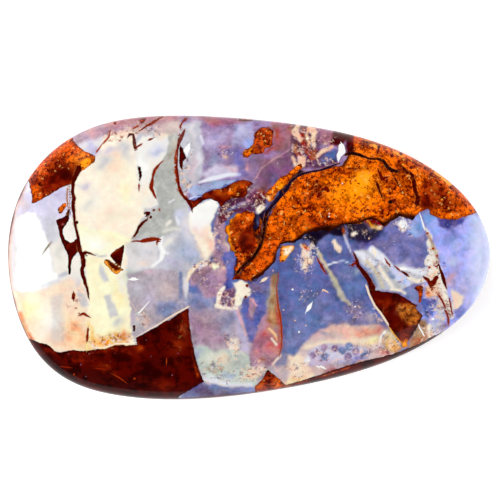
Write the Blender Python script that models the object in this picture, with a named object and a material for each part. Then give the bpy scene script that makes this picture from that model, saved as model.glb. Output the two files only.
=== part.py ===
"""A polished opal cabochon, built as the one solid stone that it is.

The stone is egg-shaped in plan. It has a flat ground back with a rounded edge, a short upright girdle and a
low dome whose shoulder is rounded. It lies on its back: X runs along its length towards the narrow end,
Y across its width, Z is up, and the origin is on the back in the middle of the length and the width.

Run with: blender --background --python part.py
"""

import math

import bmesh
import bpy
import numpy as np

MM = 0.001

# Driving sizes
LENGTH = 48.2 * MM
WIDTH = 28.4 * MM
THICKNESS = 7.0 * MM
GIRDLE_TOP = 2.2 * MM  # where the upright side ends and the dome starts
BACK_EDGE_WIDTH = 0.9 * MM  # the quarter ellipse that rounds the back into the side
BACK_EDGE_HEIGHT = 1.4 * MM

# The dome's rise is (1 - share ** SHOULDER) ** (1 / CROWN), with share 0 over the apex and 1 at the rim
SHOULDER = 2.2
CROWN = 2.2
APEX = (-3.0 * MM, 0.0)  # the dome is highest nearer the broad end

# How finely the solid is divided
SIDES = 96
DOME_RINGS = 15
BACK_EDGE_STEPS = 4
SHARP_ANGLE = 40  # degrees

# Points on the stone's rim in millimetres, anticlockwise from the narrow end
RIM_POINTS = [
    (24.1, 0.5), (22.95, 4.3), (19.1, 8.35), (13.1, 11.45), (5.1, 13.3), (-2.9, 14.1), (-9.9, 14.15),
    (-15.9, 12.95), (-20.9, 9.4), (-23.55, 4.4), (-24.05, -0.6), (-23.0, -6.0), (-21.25, -9.45),
    (-18.6, -11.95), (-12.9, -13.85), (-5.9, -14.2), (3.1, -13.2), (12.1, -11.05), (19.1, -7.7),
    (23.15, -3.5),
]  # fmt: skip

MILKY_VIOLET = (0.50, 0.47, 0.62, 1.0)
POLISHED_ROUGHNESS = 0.12


def clear_scene():
    """Removes whatever the file opened with."""
    for found in list(bpy.data.objects):
        bpy.data.objects.remove(found)


def smooth_loop(points, count):
    """Reads count points at even spacing from the closed cubic spline through points."""
    knots = np.array(points, float)
    size = len(knots)
    gap = np.linalg.norm(np.roll(knots, -1, 0) - knots, axis=1)
    before = np.roll(gap, 1)
    system = np.zeros((size, size))
    wanted = np.zeros((size, 2))
    for i in range(size):
        following = (i + 1) % size
        system[i, i - 1] = gap[i]
        system[i, i] = 2 * (gap[i] + before[i])
        system[i, following] = before[i]
        wanted[i] = 3 * (
            before[i] * (knots[following] - knots[i]) / gap[i]
            + gap[i] * (knots[i] - knots[i - 1]) / before[i]
        )
    tangent = np.linalg.solve(system, wanted)
    start = np.concatenate([[0], np.cumsum(gap)])
    along = np.linspace(0, start[-1], count, endpoint=False)
    piece = np.searchsorted(start, along, side="right") - 1
    ends = (piece + 1) % size
    reach = gap[piece][:, None]
    w = ((along - start[piece]) / gap[piece])[:, None]
    return (
        (2 * w**3 - 3 * w**2 + 1) * knots[piece]
        + (w**3 - 2 * w**2 + w) * reach * tangent[piece]
        + (3 * w**2 - 2 * w**3) * knots[ends]
        + (w**3 - w**2) * reach * tangent[ends]
    )


def rim_outline():
    """The rim in metres, LENGTH by WIDTH, with the middle of its box at the origin."""
    loop = smooth_loop(RIM_POINTS, SIDES)
    low, high = loop.min(0), loop.max(0)
    return (loop - (low + high) / 2) / (high - low) * np.array([LENGTH, WIDTH])


def inward_normals(loop):
    """Unit vectors in plan that point from each rim point into the stone."""
    run = np.roll(loop, -1, 0) - np.roll(loop, 1, 0)
    inward = np.stack([-run[:, 1], run[:, 0]], 1)
    return inward / np.linalg.norm(inward, axis=1)[:, None]


def stone_rings():
    """The stone's rings from the back up to the last one under the apex: (plan points, height) each."""
    rim = rim_outline()
    inward = inward_normals(rim)
    apex = np.array(APEX)
    rings = []
    for step in range(BACK_EDGE_STEPS + 1):
        turn = step / BACK_EDGE_STEPS * math.pi / 2
        inset = BACK_EDGE_WIDTH * (1 - math.sin(turn))
        rings.append((rim + inward * inset, BACK_EDGE_HEIGHT * (1 - math.cos(turn))))
    for step in range(DOME_RINGS):
        share = math.cos(step / DOME_RINGS * math.pi / 2)
        rise = (1 - share**SHOULDER) ** (1 / CROWN)
        rings.append((apex + (rim - apex) * share, GIRDLE_TOP + (THICKNESS - GIRDLE_TOP) * rise))
    return rings


def add_ring(shape, plan, height):
    """Adds one closed ring of edges at a height and returns them."""
    verts = [shape.verts.new((x, y, height)) for x, y in plan]
    return [shape.edges.new((verts[i - 1], verts[i])) for i in range(len(verts))]


def stone_mesh():
    """Bridges the rings from the back to the dome, closes the back flat and the dome at its apex."""
    shape = bmesh.new()
    rings = [add_ring(shape, plan, height) for plan, height in stone_rings()]
    for lower, upper in zip(rings, rings[1:], strict=False):
        bmesh.ops.bridge_loops(shape, edges=lower + upper)
    bmesh.ops.contextual_create(shape, geom=rings[0])
    cap = bmesh.ops.contextual_create(shape, geom=rings[-1])["faces"]
    crown = bmesh.ops.poke(shape, faces=cap)["verts"][0]
    crown.co = (*APEX, THICKNESS)
    bmesh.ops.recalc_face_normals(shape, faces=shape.faces)
    mesh = bpy.data.meshes.new("opal_cabochon")
    shape.to_mesh(mesh)
    shape.free()
    mesh.shade_smooth()
    mesh.set_sharp_from_angle(angle=math.radians(SHARP_ANGLE))
    return mesh


def opal_material():
    """Polished stone, in the violet grey that most of the opal has."""
    material = bpy.data.materials.new("polished_opal")
    material.use_nodes = True
    shader = material.node_tree.nodes["Principled BSDF"]
    shader.inputs["Base Color"].default_value = MILKY_VIOLET
    shader.inputs["Roughness"].default_value = POLISHED_ROUGHNESS
    shader.inputs["Metallic"].default_value = 0.0
    return material


def main():
    """Builds the stone."""
    clear_scene()
    stone = bpy.data.objects.new("opal_cabochon", stone_mesh())
    stone.data.materials.append(opal_material())
    bpy.context.scene.collection.objects.link(stone)


main()
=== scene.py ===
"""A polished boulder opal cabochon, dressed for its photograph.

The stone is one solid: milky opal in cream, white, lilac and slate blue, held in orange and maroon ironstone.
Its dome is made by a rule from its rim, its side and back are added ring by ring, and its pattern is laid on
the surface as named patches, blooms and strokes, in millimetres of the plan. The finish then adds what is
finer than that: grain in the ironstone, clouds and crumbs in the opal, and crisp, slightly ragged edges.

Plan positions are in millimetres: x runs along the stone to its narrow end, y across it.
"""

import sys
import logging
import math
from collections.abc import Sequence
from dataclasses import dataclass
from enum import Enum

import bpy
import numpy as np
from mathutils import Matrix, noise


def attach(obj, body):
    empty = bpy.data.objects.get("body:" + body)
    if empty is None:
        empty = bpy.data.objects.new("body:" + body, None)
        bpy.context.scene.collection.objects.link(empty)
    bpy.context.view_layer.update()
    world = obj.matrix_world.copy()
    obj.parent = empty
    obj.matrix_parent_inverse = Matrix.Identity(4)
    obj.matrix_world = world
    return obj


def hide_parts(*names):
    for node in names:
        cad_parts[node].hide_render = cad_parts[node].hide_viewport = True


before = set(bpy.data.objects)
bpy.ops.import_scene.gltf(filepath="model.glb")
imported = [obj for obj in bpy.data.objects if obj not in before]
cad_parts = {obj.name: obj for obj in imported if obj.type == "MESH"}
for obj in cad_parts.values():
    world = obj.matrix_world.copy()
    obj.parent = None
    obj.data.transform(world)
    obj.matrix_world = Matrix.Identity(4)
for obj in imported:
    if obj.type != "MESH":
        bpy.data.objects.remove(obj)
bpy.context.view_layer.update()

log = logging.getLogger("opal_cabochon")

MM = 0.001

Point = tuple[float, float]
Path = Sequence[Point]


class Tint(Enum):
    """The stone's colours under soft daylight, as sRGB from 0 to 255."""

    MILK = (255, 255, 253)
    COOL_WHITE = (238, 240, 250)
    WARM_WHITE = (245, 239, 228)
    CREAM = (255, 243, 220)
    LEMON_CREAM = (255, 250, 205)
    LEMON = (252, 235, 150)
    PEACH_CREAM = (250, 224, 196)
    PEACH = (250, 205, 170)
    APRICOT = (255, 190, 130)
    SALMON = (240, 150, 120)
    CORAL = (205, 95, 75)
    PINK = (235, 170, 175)
    BLUSH_GREY = (213, 186, 182)
    ROSE = (165, 100, 120)
    MAUVE = (172, 134, 156)
    MAUVE_GREY = (184, 170, 182)
    PALE_LILAC = (218, 212, 236)
    LILAC = (190, 180, 218)
    LAVENDER = (172, 168, 214)
    VIOLET = (152, 122, 168)
    DUSK = (128, 82, 116)
    PERIWINKLE = (162, 167, 250)
    PALE_SKY = (208, 214, 252)
    SKY = (135, 165, 235)
    HAZE_BLUE = (160, 175, 215)
    SLATE = (115, 128, 178)
    SLATE_BLUE = (90, 99, 162)
    SLATE_VIOLET = (125, 120, 176)
    BLUE = (88, 95, 175)
    INDIGO = (62, 52, 125)
    NIGHT = (24, 12, 36)
    PLUM = (85, 35, 70)
    PEARL = (228, 222, 224)
    PEARL_GREY = (198, 198, 208)
    SAGE_GREY = (184, 185, 180)
    SEA_GLASS = (196, 208, 196)
    MOSS = (120, 125, 95)
    BEIGE = (214, 198, 160)
    TAN = (168, 118, 76)
    AMBER = (242, 168, 55)
    HONEY = (255, 182, 60)
    YELLOW_ORANGE = (255, 162, 12)
    ORANGE = (250, 118, 2)
    RUST = (205, 80, 10)
    BURNT = (160, 50, 8)
    RED_BROWN = (130, 28, 5)
    MAROON = (104, 12, 2)
    DARK_MAROON = (72, 4, 0)
    BLACK_BROWN = (34, 6, 6)

    def colour(self) -> np.ndarray:
        """The tint as sRGB from 0 to 1."""
        return np.array(self.value) / 255


@dataclass(frozen=True)
class Patch:
    """An area with an edge.

    Attributes:
        tint: Its colour.
        outline: Its corners in plan.
        soft: Half the width over which its edge fades.
        strength: How much of the colour it lays, from 0 to 1.
    """

    tint: Tint
    outline: Path
    soft: float = 0.12
    strength: float = 1.0


@dataclass(frozen=True)
class Bloom:
    """A soft cloud of colour.

    Attributes:
        tint: Its colour.
        middle: Its middle in plan.
        spread: How far it reaches along and across, before it is turned.
        strength: How much of the colour it lays at its middle.
        turn: How far it is turned anticlockwise, in degrees.
    """

    tint: Tint
    middle: Point
    spread: Point
    strength: float = 0.7
    turn: float = 0.0


@dataclass(frozen=True)
class Stroke:
    """A line of colour along a path.

    Attributes:
        tint: Its colour.
        path: The points that it goes through; one point makes a dot.
        width: Its width, or its widths at even spacing from its start to its end.
        soft: Half the width over which its side fades, where it is laid as a tint.
        strength: How much of the colour it lays.
    """

    tint: Tint
    path: Path
    width: float | tuple[float, ...] = 0.2
    soft: float = 0.08
    strength: float = 1.0


Mark = Patch | Bloom | Stroke
T = Tint


def smooth_step(share: np.ndarray) -> np.ndarray:
    """A smooth rise from 0 to 1 as share goes from 0 to 1.

    Args:
        share: Any numbers.

    Returns:
        The eased numbers, held at 0 and 1 outside.
    """
    held = np.clip(share, 0, 1)
    return held * held * (3 - 2 * held)


def to_linear(srgb: np.ndarray) -> np.ndarray:
    """Turns sRGB from 0 to 1 into linear colour."""
    return np.where(srgb <= 0.04045, srgb / 12.92, ((srgb + 0.055) / 1.055) ** 2.4)


def inside_distance(spots: np.ndarray, outline: Path, reach: float) -> np.ndarray:
    """Measures how far spots are inside a closed outline.

    Args:
        spots: Plan positions, one row each.
        outline: The corners of the outline.
        reach: The largest distance that matters.

    Returns:
        Millimetres inside for each spot, negative outside, never past reach.
    """
    corners = np.array(outline, float)
    depth = np.full(len(spots), -reach)
    near = np.all((spots > corners.min(0) - reach) & (spots < corners.max(0) + reach), axis=1)
    x, y = spots[near].T
    gap = np.full(x.size, reach)
    inside = np.zeros(x.size, bool)
    for (ax, ay), (bx, by) in zip(corners, np.roll(corners, -1, 0), strict=True):
        run_x, run_y = bx - ax, by - ay
        share = np.clip(((x - ax) * run_x + (y - ay) * run_y) / (run_x**2 + run_y**2), 0, 1)
        gap = np.minimum(gap, np.hypot(x - ax - share * run_x, y - ay - share * run_y))
        if run_y:
            inside ^= ((ay > y) != (by > y)) & (x < ax + (y - ay) / run_y * run_x)
    depth[near] = np.where(inside, gap, -gap)
    return depth


def beside_path(spots: np.ndarray, stroke: Stroke, reach: float) -> tuple[np.ndarray, ...]:
    """Measures where spots are beside a stroke.

    Args:
        spots: Plan positions, one row each.
        stroke: The stroke to measure from.
        reach: The largest distance that matters.

    Returns:
        Which spots are near it, and for these the distance to its middle line, positive on its left and
        negative on its right, and half the stroke's width there.
    """
    path = np.array(stroke.path, float)
    near = np.flatnonzero(np.all((spots > path.min(0) - reach) & (spots < path.max(0) + reach), axis=1))
    x, y = spots[near].T
    widths = np.atleast_1d(stroke.width)
    if len(path) == 1:
        return near, np.hypot(x - path[0, 0], y - path[0, 1]), np.full(x.size, widths[0] / 2)
    steps = np.linalg.norm(np.diff(path, axis=0), axis=1)
    start = np.concatenate([[0], np.cumsum(steps)])
    gap, side, along = np.full(x.size, np.inf), np.ones(x.size), np.zeros(x.size)
    for i, (run_x, run_y) in enumerate(np.diff(path, axis=0)):
        from_x, from_y = x - path[i, 0], y - path[i, 1]
        share = np.clip((from_x * run_x + from_y * run_y) / steps[i] ** 2, 0, 1)
        found = np.hypot(from_x - share * run_x, from_y - share * run_y)
        closer = found < gap
        gap = np.where(closer, found, gap)
        side = np.where(closer, np.sign(run_x * from_y - run_y * from_x), side)
        along = np.where(closer, start[i] + share * steps[i], along)
    half = np.interp(along / start[-1], np.linspace(0, 1, len(widths)), widths) / 2
    return near, gap * np.where(side == 0, 1, side), half


class Surface:
    """The pattern on the stone's surface, laid mark by mark on its spots.

    Colours are kept as sRGB while marks are laid, so that they blend as they look.
    """

    EDGE_REACH = 1.5  # how far the ironstone's edge distance is kept, in millimetres
    BLEED = 0.35  # how far a colour runs past its own edge, so that a ragged edge still finds it
    FADE_MARGIN = 0.05  # how far past its fade a patch is still measured
    LINE_REACH = 0.9  # how far from a line's middle it is still measured
    NO_LINE = (5.0, 5.0, 0.0)  # side distance, plain distance and half width where no line is near
    RUFFLES = ((0.8, 0.22), (1.9, 0.15))  # waves per millimetre, and millimetres
    RUFFLE_SEED = 11  # Blender's noise starts from the clock unless it has a seed
    # Waves that bend the blooms. Each set has its millimetres, and then one wave for the shift along x and
    # one for the shift along y: radians per millimetre of x, radians per millimetre of y, and radians at the
    # origin.
    SWAYS = (
        (0.32, ((0.6, 1.35, 0.0), (1.2, -0.7, 2.0))),
        (0.14, ((-2.6, 4.3, 1.0), (3.9, 3.1, 0.0))),
    )

    def __init__(self, spots: np.ndarray) -> None:
        """Starts with plain slate violet opal and no ironstone.

        Args:
            spots: The plan position that each point of the surface shows.
        """
        self.spots = spots
        self.swayed = spots + self._sway()
        self.ruffled = spots + self._ruffle()
        count = len(spots)
        self.opal = np.tile(T.SLATE_VIOLET.colour(), (count, 1))
        self.rock = np.tile(T.MAROON.colour(), (count, 1))
        self.rock_edge = np.full(count, -self.EDGE_REACH)
        self.crumble = np.zeros(count)
        self.lines = {name: np.tile(self.NO_LINE, (count, 1)) for name in ("pale", "vein")}
        self.line_tints = {name: np.tile(T.CREAM.colour(), (count, 1)) for name in self.lines}

    def _sway(self) -> np.ndarray:
        """Smooth shifts of the spots, which bend the blooms."""
        x, y = self.spots.T
        shifts = np.zeros((len(self.spots), 2))
        for amount, waves in self.SWAYS:
            shifts += amount * np.stack([np.sin(a * x + b * y + start) for a, b, start in waves], axis=1)
        return shifts

    def _ruffle(self) -> np.ndarray:
        """Small uneven shifts of the spots, which make the edges of the opal's areas ragged."""
        shifts = np.zeros((len(self.spots), 2))
        noise.seed_set(self.RUFFLE_SEED)
        for scale, amount in self.RUFFLES:
            placed = (self.spots * scale).tolist()
            shifts += amount * np.array([noise.noise_vector((x, y, scale))[:2] for x, y in placed])
        return shifts

    def _cover(self, mark: Mark) -> np.ndarray:
        """How much of each spot a mark covers, from 0 to its strength."""
        if isinstance(mark, Patch):
            depth = inside_distance(self.ruffled, mark.outline, mark.soft + self.FADE_MARGIN)
            return mark.strength * smooth_step((depth + mark.soft) / (2 * mark.soft))
        if isinstance(mark, Bloom):
            turn = math.radians(mark.turn)
            x, y = (self.swayed - np.array(mark.middle)).T
            along = (x * math.cos(turn) + y * math.sin(turn)) / mark.spread[0]
            across = (y * math.cos(turn) - x * math.sin(turn)) / mark.spread[1]
            return mark.strength * np.exp(-(along**2 + across**2))
        cover = np.zeros(len(self.spots))
        near, side, half = beside_path(self.spots, mark, max(np.atleast_1d(mark.width)) + mark.soft)
        cover[near] = smooth_step((half + mark.soft - np.abs(side)) / (2 * mark.soft))
        return mark.strength * cover

    @staticmethod
    def _lay(ground: np.ndarray, tint: Tint, cover: np.ndarray) -> None:
        """Lays one tint over a ground, by how much of each spot it covers."""
        ground += cover[:, None] * (tint.colour() - ground)

    def tint_opal(self, marks: Sequence[Mark]) -> None:
        """Lays marks on the opal, in order."""
        for mark in marks:
            self._lay(self.opal, mark.tint, self._cover(mark))

    def break_up(self, marks: Sequence[Mark]) -> None:
        """Breaks the opal under marks into crumbs, by their strength."""
        for mark in marks:
            self.crumble = np.maximum(self.crumble, self._cover(mark))

    def add_ironstone(self, patches: Sequence[Patch]) -> None:
        """Adds pieces of ironstone, each with its own colour."""
        for patch in patches:
            depth = inside_distance(self.spots, patch.outline, self.EDGE_REACH)
            own = smooth_step((depth + patch.soft) / (2 * patch.soft))
            outside = (self.rock_edge < 0) & (depth > self.rock_edge)
            run_over = smooth_step((depth + self.BLEED) / (self.BLEED / 2)) * outside
            self._lay(self.rock, patch.tint, np.maximum(own, run_over))
            self.rock_edge = np.maximum(self.rock_edge, depth)

    def tint_ironstone(self, marks: Sequence[Mark]) -> None:
        """Lays marks on the ironstone, in order."""
        for mark in marks:
            self._lay(self.rock, mark.tint, self._cover(mark))

    def draw(self, name: str, strokes: Sequence[Stroke]) -> None:
        """Draws crisp lines.

        Args:
            name: Which lines they belong to, "pale" or "vein".
            strokes: The lines.
        """
        lines, tints = self.lines[name], self.line_tints[name]
        for stroke in strokes:
            near, side, half = beside_path(self.spots, stroke, self.LINE_REACH)
            gap = np.abs(side)
            closer = gap - half < lines[near, 1] - lines[near, 2]
            kept = near[closer]
            lines[kept] = np.stack([side, gap, half], 1)[closer]
            tints[kept] = stroke.tint.colour()

    def sink_in_host(self, level: np.ndarray, heights: np.ndarray) -> None:
        """Lets the ironstone that the opal grew on rise to a level, seen on the side of the stone.

        Args:
            level: The host's height at each spot, in millimetres.
            heights: Each spot's own height.
        """
        depth = np.clip(level - heights, -self.EDGE_REACH, self.EDGE_REACH)
        cover = smooth_step((depth + self.BLEED) / self.BLEED)
        self._lay(self.rock, T.DARK_MAROON, np.where(depth > self.rock_edge, cover, 0))
        self.rock_edge = np.maximum(self.rock_edge, depth)
        for line in self.lines.values():
            line[depth > 0] = self.NO_LINE


def blooms(tint: Tint, *clouds: tuple) -> tuple[Bloom, ...]:
    """Makes blooms of one tint, each from a Bloom's other values in their order."""
    return tuple(Bloom(tint, *cloud) for cloud in clouds)


def strokes(tint: Tint, *lines: tuple) -> tuple[Stroke, ...]:
    """Makes strokes of one tint, each from a Stroke's other values in their order."""
    return tuple(Stroke(tint, *line) for line in lines)


def dots(tint: Tint, width: float, *middles: Point) -> tuple[Stroke, ...]:
    """Makes round dots of one tint and one width."""
    return tuple(Stroke(tint, [middle], width) for middle in middles)


class OpalTints:
    """Where the opal's colours lie, area by area. A mark covers what was laid before it."""

    GROUNDS = (
        Patch(T.PEARL, [(-26, -16), (-12, -16), (-12, 2), (-11, 2), (-11.2, 16), (-26, 16)], 0.1),
        Patch(T.PEARL_GREY, [(-12, -16), (-6, -16), (-6, 16), (-11.2, 16), (-11, 2), (-12, 2)], 0.1),
        Patch(T.SLATE_BLUE, [(-6, -16), (3.2, -16), (12, -16), (12, 9), (-6, 9)], 0.1),
    )
    BROAD_END = (
        Patch(T.PALE_LILAC, [(-23.4, 4.3), (-22.6, 7.4), (-18.4, 7.2), (-17.6, 6), (-17.7, 3.8),
              (-19.3, 3.6), (-20.6, 2), (-21, 4)], 0.35),
        Bloom(T.LILAC, (-18.9, 6.3), (0.9, 0.35), 0.7, 20), Bloom(T.BLUSH_GREY, (-22.5, 5.6), (0.5, 0.8)),
        Stroke(T.COOL_WHITE, [(-22.7, 6.5), (-21.9, 6.9)], 0.25, 0.15),
        Patch(T.PEARL_GREY, [(-20.9, 4.1), (-19.4, 4), (-19, 2.4), (-19.6, 1.2), (-20.2, 1.4)], 0.4, 0.8),
        Patch(T.WARM_WHITE, [(-19.9, 1.2), (-18.9, 1.6), (-18, 0), (-16.8, 0.2), (-16.5, -3), (-18.2, -2.4),
              (-19.4, -2)], 0.3),
        Bloom(T.SAGE_GREY, (-18.7, 0.5), (0.5, 0.9), 0.35),
        Patch(T.WARM_WHITE, [(-18.7, 3), (-18.3, 4), (-17.4, 4), (-17.1, 2), (-17.6, 1.4),
              (-18.5, 1.6)], 0.15),
        Patch(T.PEACH_CREAM, [(-24.4, -3.4), (-21.5, -3.4), (-18.7, -2.4), (-17.9, -2.2), (-16.6, -2.5),
              (-16.2, -4), (-16, -9.4), (-22.5, -9.4), (-24.2, -6)], 0.3),
        Bloom(T.APRICOT, (-17.7, -7.6), (1.3, 1.6), 0.8),
        Bloom(T.LEMON_CREAM, (-21.8, -5.2), (1.3, 1.5), 0.9), Bloom(T.LEMON, (-22.4, -5.4), (0.5, 1), 0.5),
        Bloom(T.MILK, (-20.2, -6.3), (0.8, 1.5), 0.6),
        Patch(T.PEARL_GREY, [(-19.8, -4), (-18.7, -3.6), (-18.5, -8.4), (-19.7, -8.4)], 0.35, 0.45),
        Bloom(T.PEARL_GREY, (-17.4, -2.2), (0.4, 0.7)),
        # This pure white patch on the left shoulder is partly white opal and partly a painted highlight: the
        # glare of the left softbox.
        Patch(T.MILK, [(-23.3, 3.6), (-22.8, 4.2), (-22, 4.5), (-21.4, 4.5), (-20.8, 3.2), (-20.2, 1.9),
              (-19.9, 0.5), (-19.6, -1.3), (-18.9, -2), (-19.4, -2.4), (-20.4, -2.9), (-21.5, -3.3),
              (-22.8, -3.5), (-23.4, -2.8)]),
        *strokes(T.PEARL_GREY, ([(-20.7, -2.85), (-19.9, -2.55), (-19.1, -2.2)], 0.3, 0.15, 0.4),
                 ([(-18.9, -1.85), (-18.3, -1.6)], 0.4, 0.15)),
        # Painted reflection: the pinkish grey and peach band along the left rim stands for the surroundings
        # mirrored in the steep shoulder.
        Stroke(T.BLUSH_GREY, [(-22.7, 7), (-23.7, 4.6), (-24.2, 2), (-24.3, -1), (-24, -4),
               (-23.2, -6.6)], 0.9, 0.25),
        Stroke(T.PEACH, [(-23.9, 4.2), (-24.15, 0), (-23.9, -3.6)], 0.45, 0.2, 0.7),
        Stroke(T.DARK_MAROON, [(-22.1, 8.1), (-23.5, 5.1), (-24.15, 2), (-24.3, -0.6), (-24.05, -3),
               (-23.3, -5.8), (-22.3, -8)], (0.3, 0.35, 0.45, 0.5, 0.4), 0.1),
        Stroke(T.RUST, [(-22.9, -5.6), (-22.3, -7.2), (-21.7, -8.2)], 0.35, 0.25, 0.6),
    )
    CREAM_HEART = (
        Patch(T.CREAM, [(-17.6, 6.6), (-17.2, 8.6), (-16.2, 9.2), (-15.5, 9.8), (-15.2, 10.8),
              (-14.1, 12.2), (-13.8, 12.9), (-12.4, 12.4), (-11.6, 11.9), (-11.3, 10.4), (-11.1, 9),
              (-11, 7), (-10.5, 5), (-10.4, 4.2), (-11.2, 2.8), (-11.7, 1.9), (-12.2, 1.2), (-12.1, -1),
              (-12.05, -4), (-11.85, -6), (-11.5, -7.7), (-11.3, -9.4), (-16.2, -9.6), (-16.1, -4),
              (-16.6, 0.3), (-17.1, 1.6), (-17.5, 4)]),
        Patch(T.LEMON_CREAM, [(-17.2, 3.4), (-15.6, 2.9), (-13.4, 2.6), (-11.6, 1.9), (-12.2, 1.2),
              (-12.7, 1), (-13.6, 0.9), (-14.3, 0.3), (-15.4, 0.3), (-16.6, 0.4)], 0.2, 0.9),
        Bloom(T.MILK, (-15.6, 1.6), (1.4, 0.9), 0.8), Bloom(T.WARM_WHITE, (-15.8, 6), (0.8, 1.4)),
        Bloom(T.PEARL_GREY, (-16.2, 5), (0.5, 0.5), 0.4), Bloom(T.PEACH, (-13.5, 9), (0.9, 1.4), 0.55),
        Bloom(T.PEACH_CREAM, (-13.6, 4.4), (1.2, 0.9), 0.6),
        Bloom(T.LEMON_CREAM, (-12.1, 6.8), (0.6, 1.4), 0.9),
        *blooms(T.LILAC, ((-16.6, 7.3), (0.6, 0.4)), ((-13.9, 10.8), (0.9, 0.4), 0.6)),
        *blooms(T.PEARL_GREY, ((-14.7, 9.6), (0.7, 0.8), 0.8), ((-12.2, 10.6), (0.7, 0.9), 0.8)),
        Stroke(T.PEARL_GREY, [(-15.4, 0.3), (-14.9, 0.1), (-14.3, 0.2)], 0.16, 0.1),
        Patch(T.LEMON_CREAM, [(-16.5, 0), (-15.4, 0.15), (-14.6, -0.2), (-13.4, -1.8), (-12.3, -1.4),
              (-12.1, -4), (-11.85, -6), (-11.5, -7.6), (-16.1, -8), (-16, -4)], 0.3, 0.85),
        Bloom(T.LEMON, (-12.9, -3.6), (0.6, 1.3), 0.4),
        Patch(T.PEARL_GREY, [(-15, -0.6), (-14.5, -1), (-14, -2.4), (-14.5, -2.6),
              (-14.9, -1.8)], 0.2, 0.9),
        Patch(T.PEARL_GREY, [(-14.4, -4), (-13.8, -3.7), (-13, -5.7), (-13.9, -6.1)], 0.15, 0.8),
        Patch(T.PEARL_GREY, [(-17.2, -3.2), (-16.4, -3.8), (-16, -4.8), (-16.6, -5),
              (-17.1, -4.2)], 0.15, 0.8),
        Bloom(T.PEARL_GREY, (-12.8, -6.5), (0.4, 0.6)),
        Bloom(T.WARM_WHITE, (-12.5, -2.4), (0.35, 1.2), 0.9),
        Bloom(T.AMBER, (-14.3, -8.5), (1.9, 0.8), 0.95), Bloom(T.YELLOW_ORANGE, (-13.4, -8.2), (1, 0.4)),
        Bloom(T.RUST, (-12.2, -8), (0.5, 0.3), 0.5), Bloom(T.AMBER, (-15.9, -7.8), (0.3, 1.2)),
    )
    TOP_CRUMBS = (
        Patch(T.PEACH_CREAM, [(-14, 12.4), (-12.4, 12.1), (-11.5, 11.6), (-11.2, 12.6), (-12, 13.6),
              (-13.6, 13.6)], 0.25),
        Patch(T.BLUSH_GREY, [(-11.8, 12.8), (-11.2, 12.3), (-8, 12.3), (-6.9, 12.6), (-6.5, 14.6),
              (-13, 14.4)], 0.2),
        Bloom(T.SAGE_GREY, (-10.2, 12.6), (0.9, 0.3), 0.6), Bloom(T.MAUVE_GREY, (-10, 13.2), (1, 0.3), 0.6),
        Bloom(T.PEACH_CREAM, (-8.8, 12.4), (0.5, 0.3), 0.8),
    )
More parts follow.
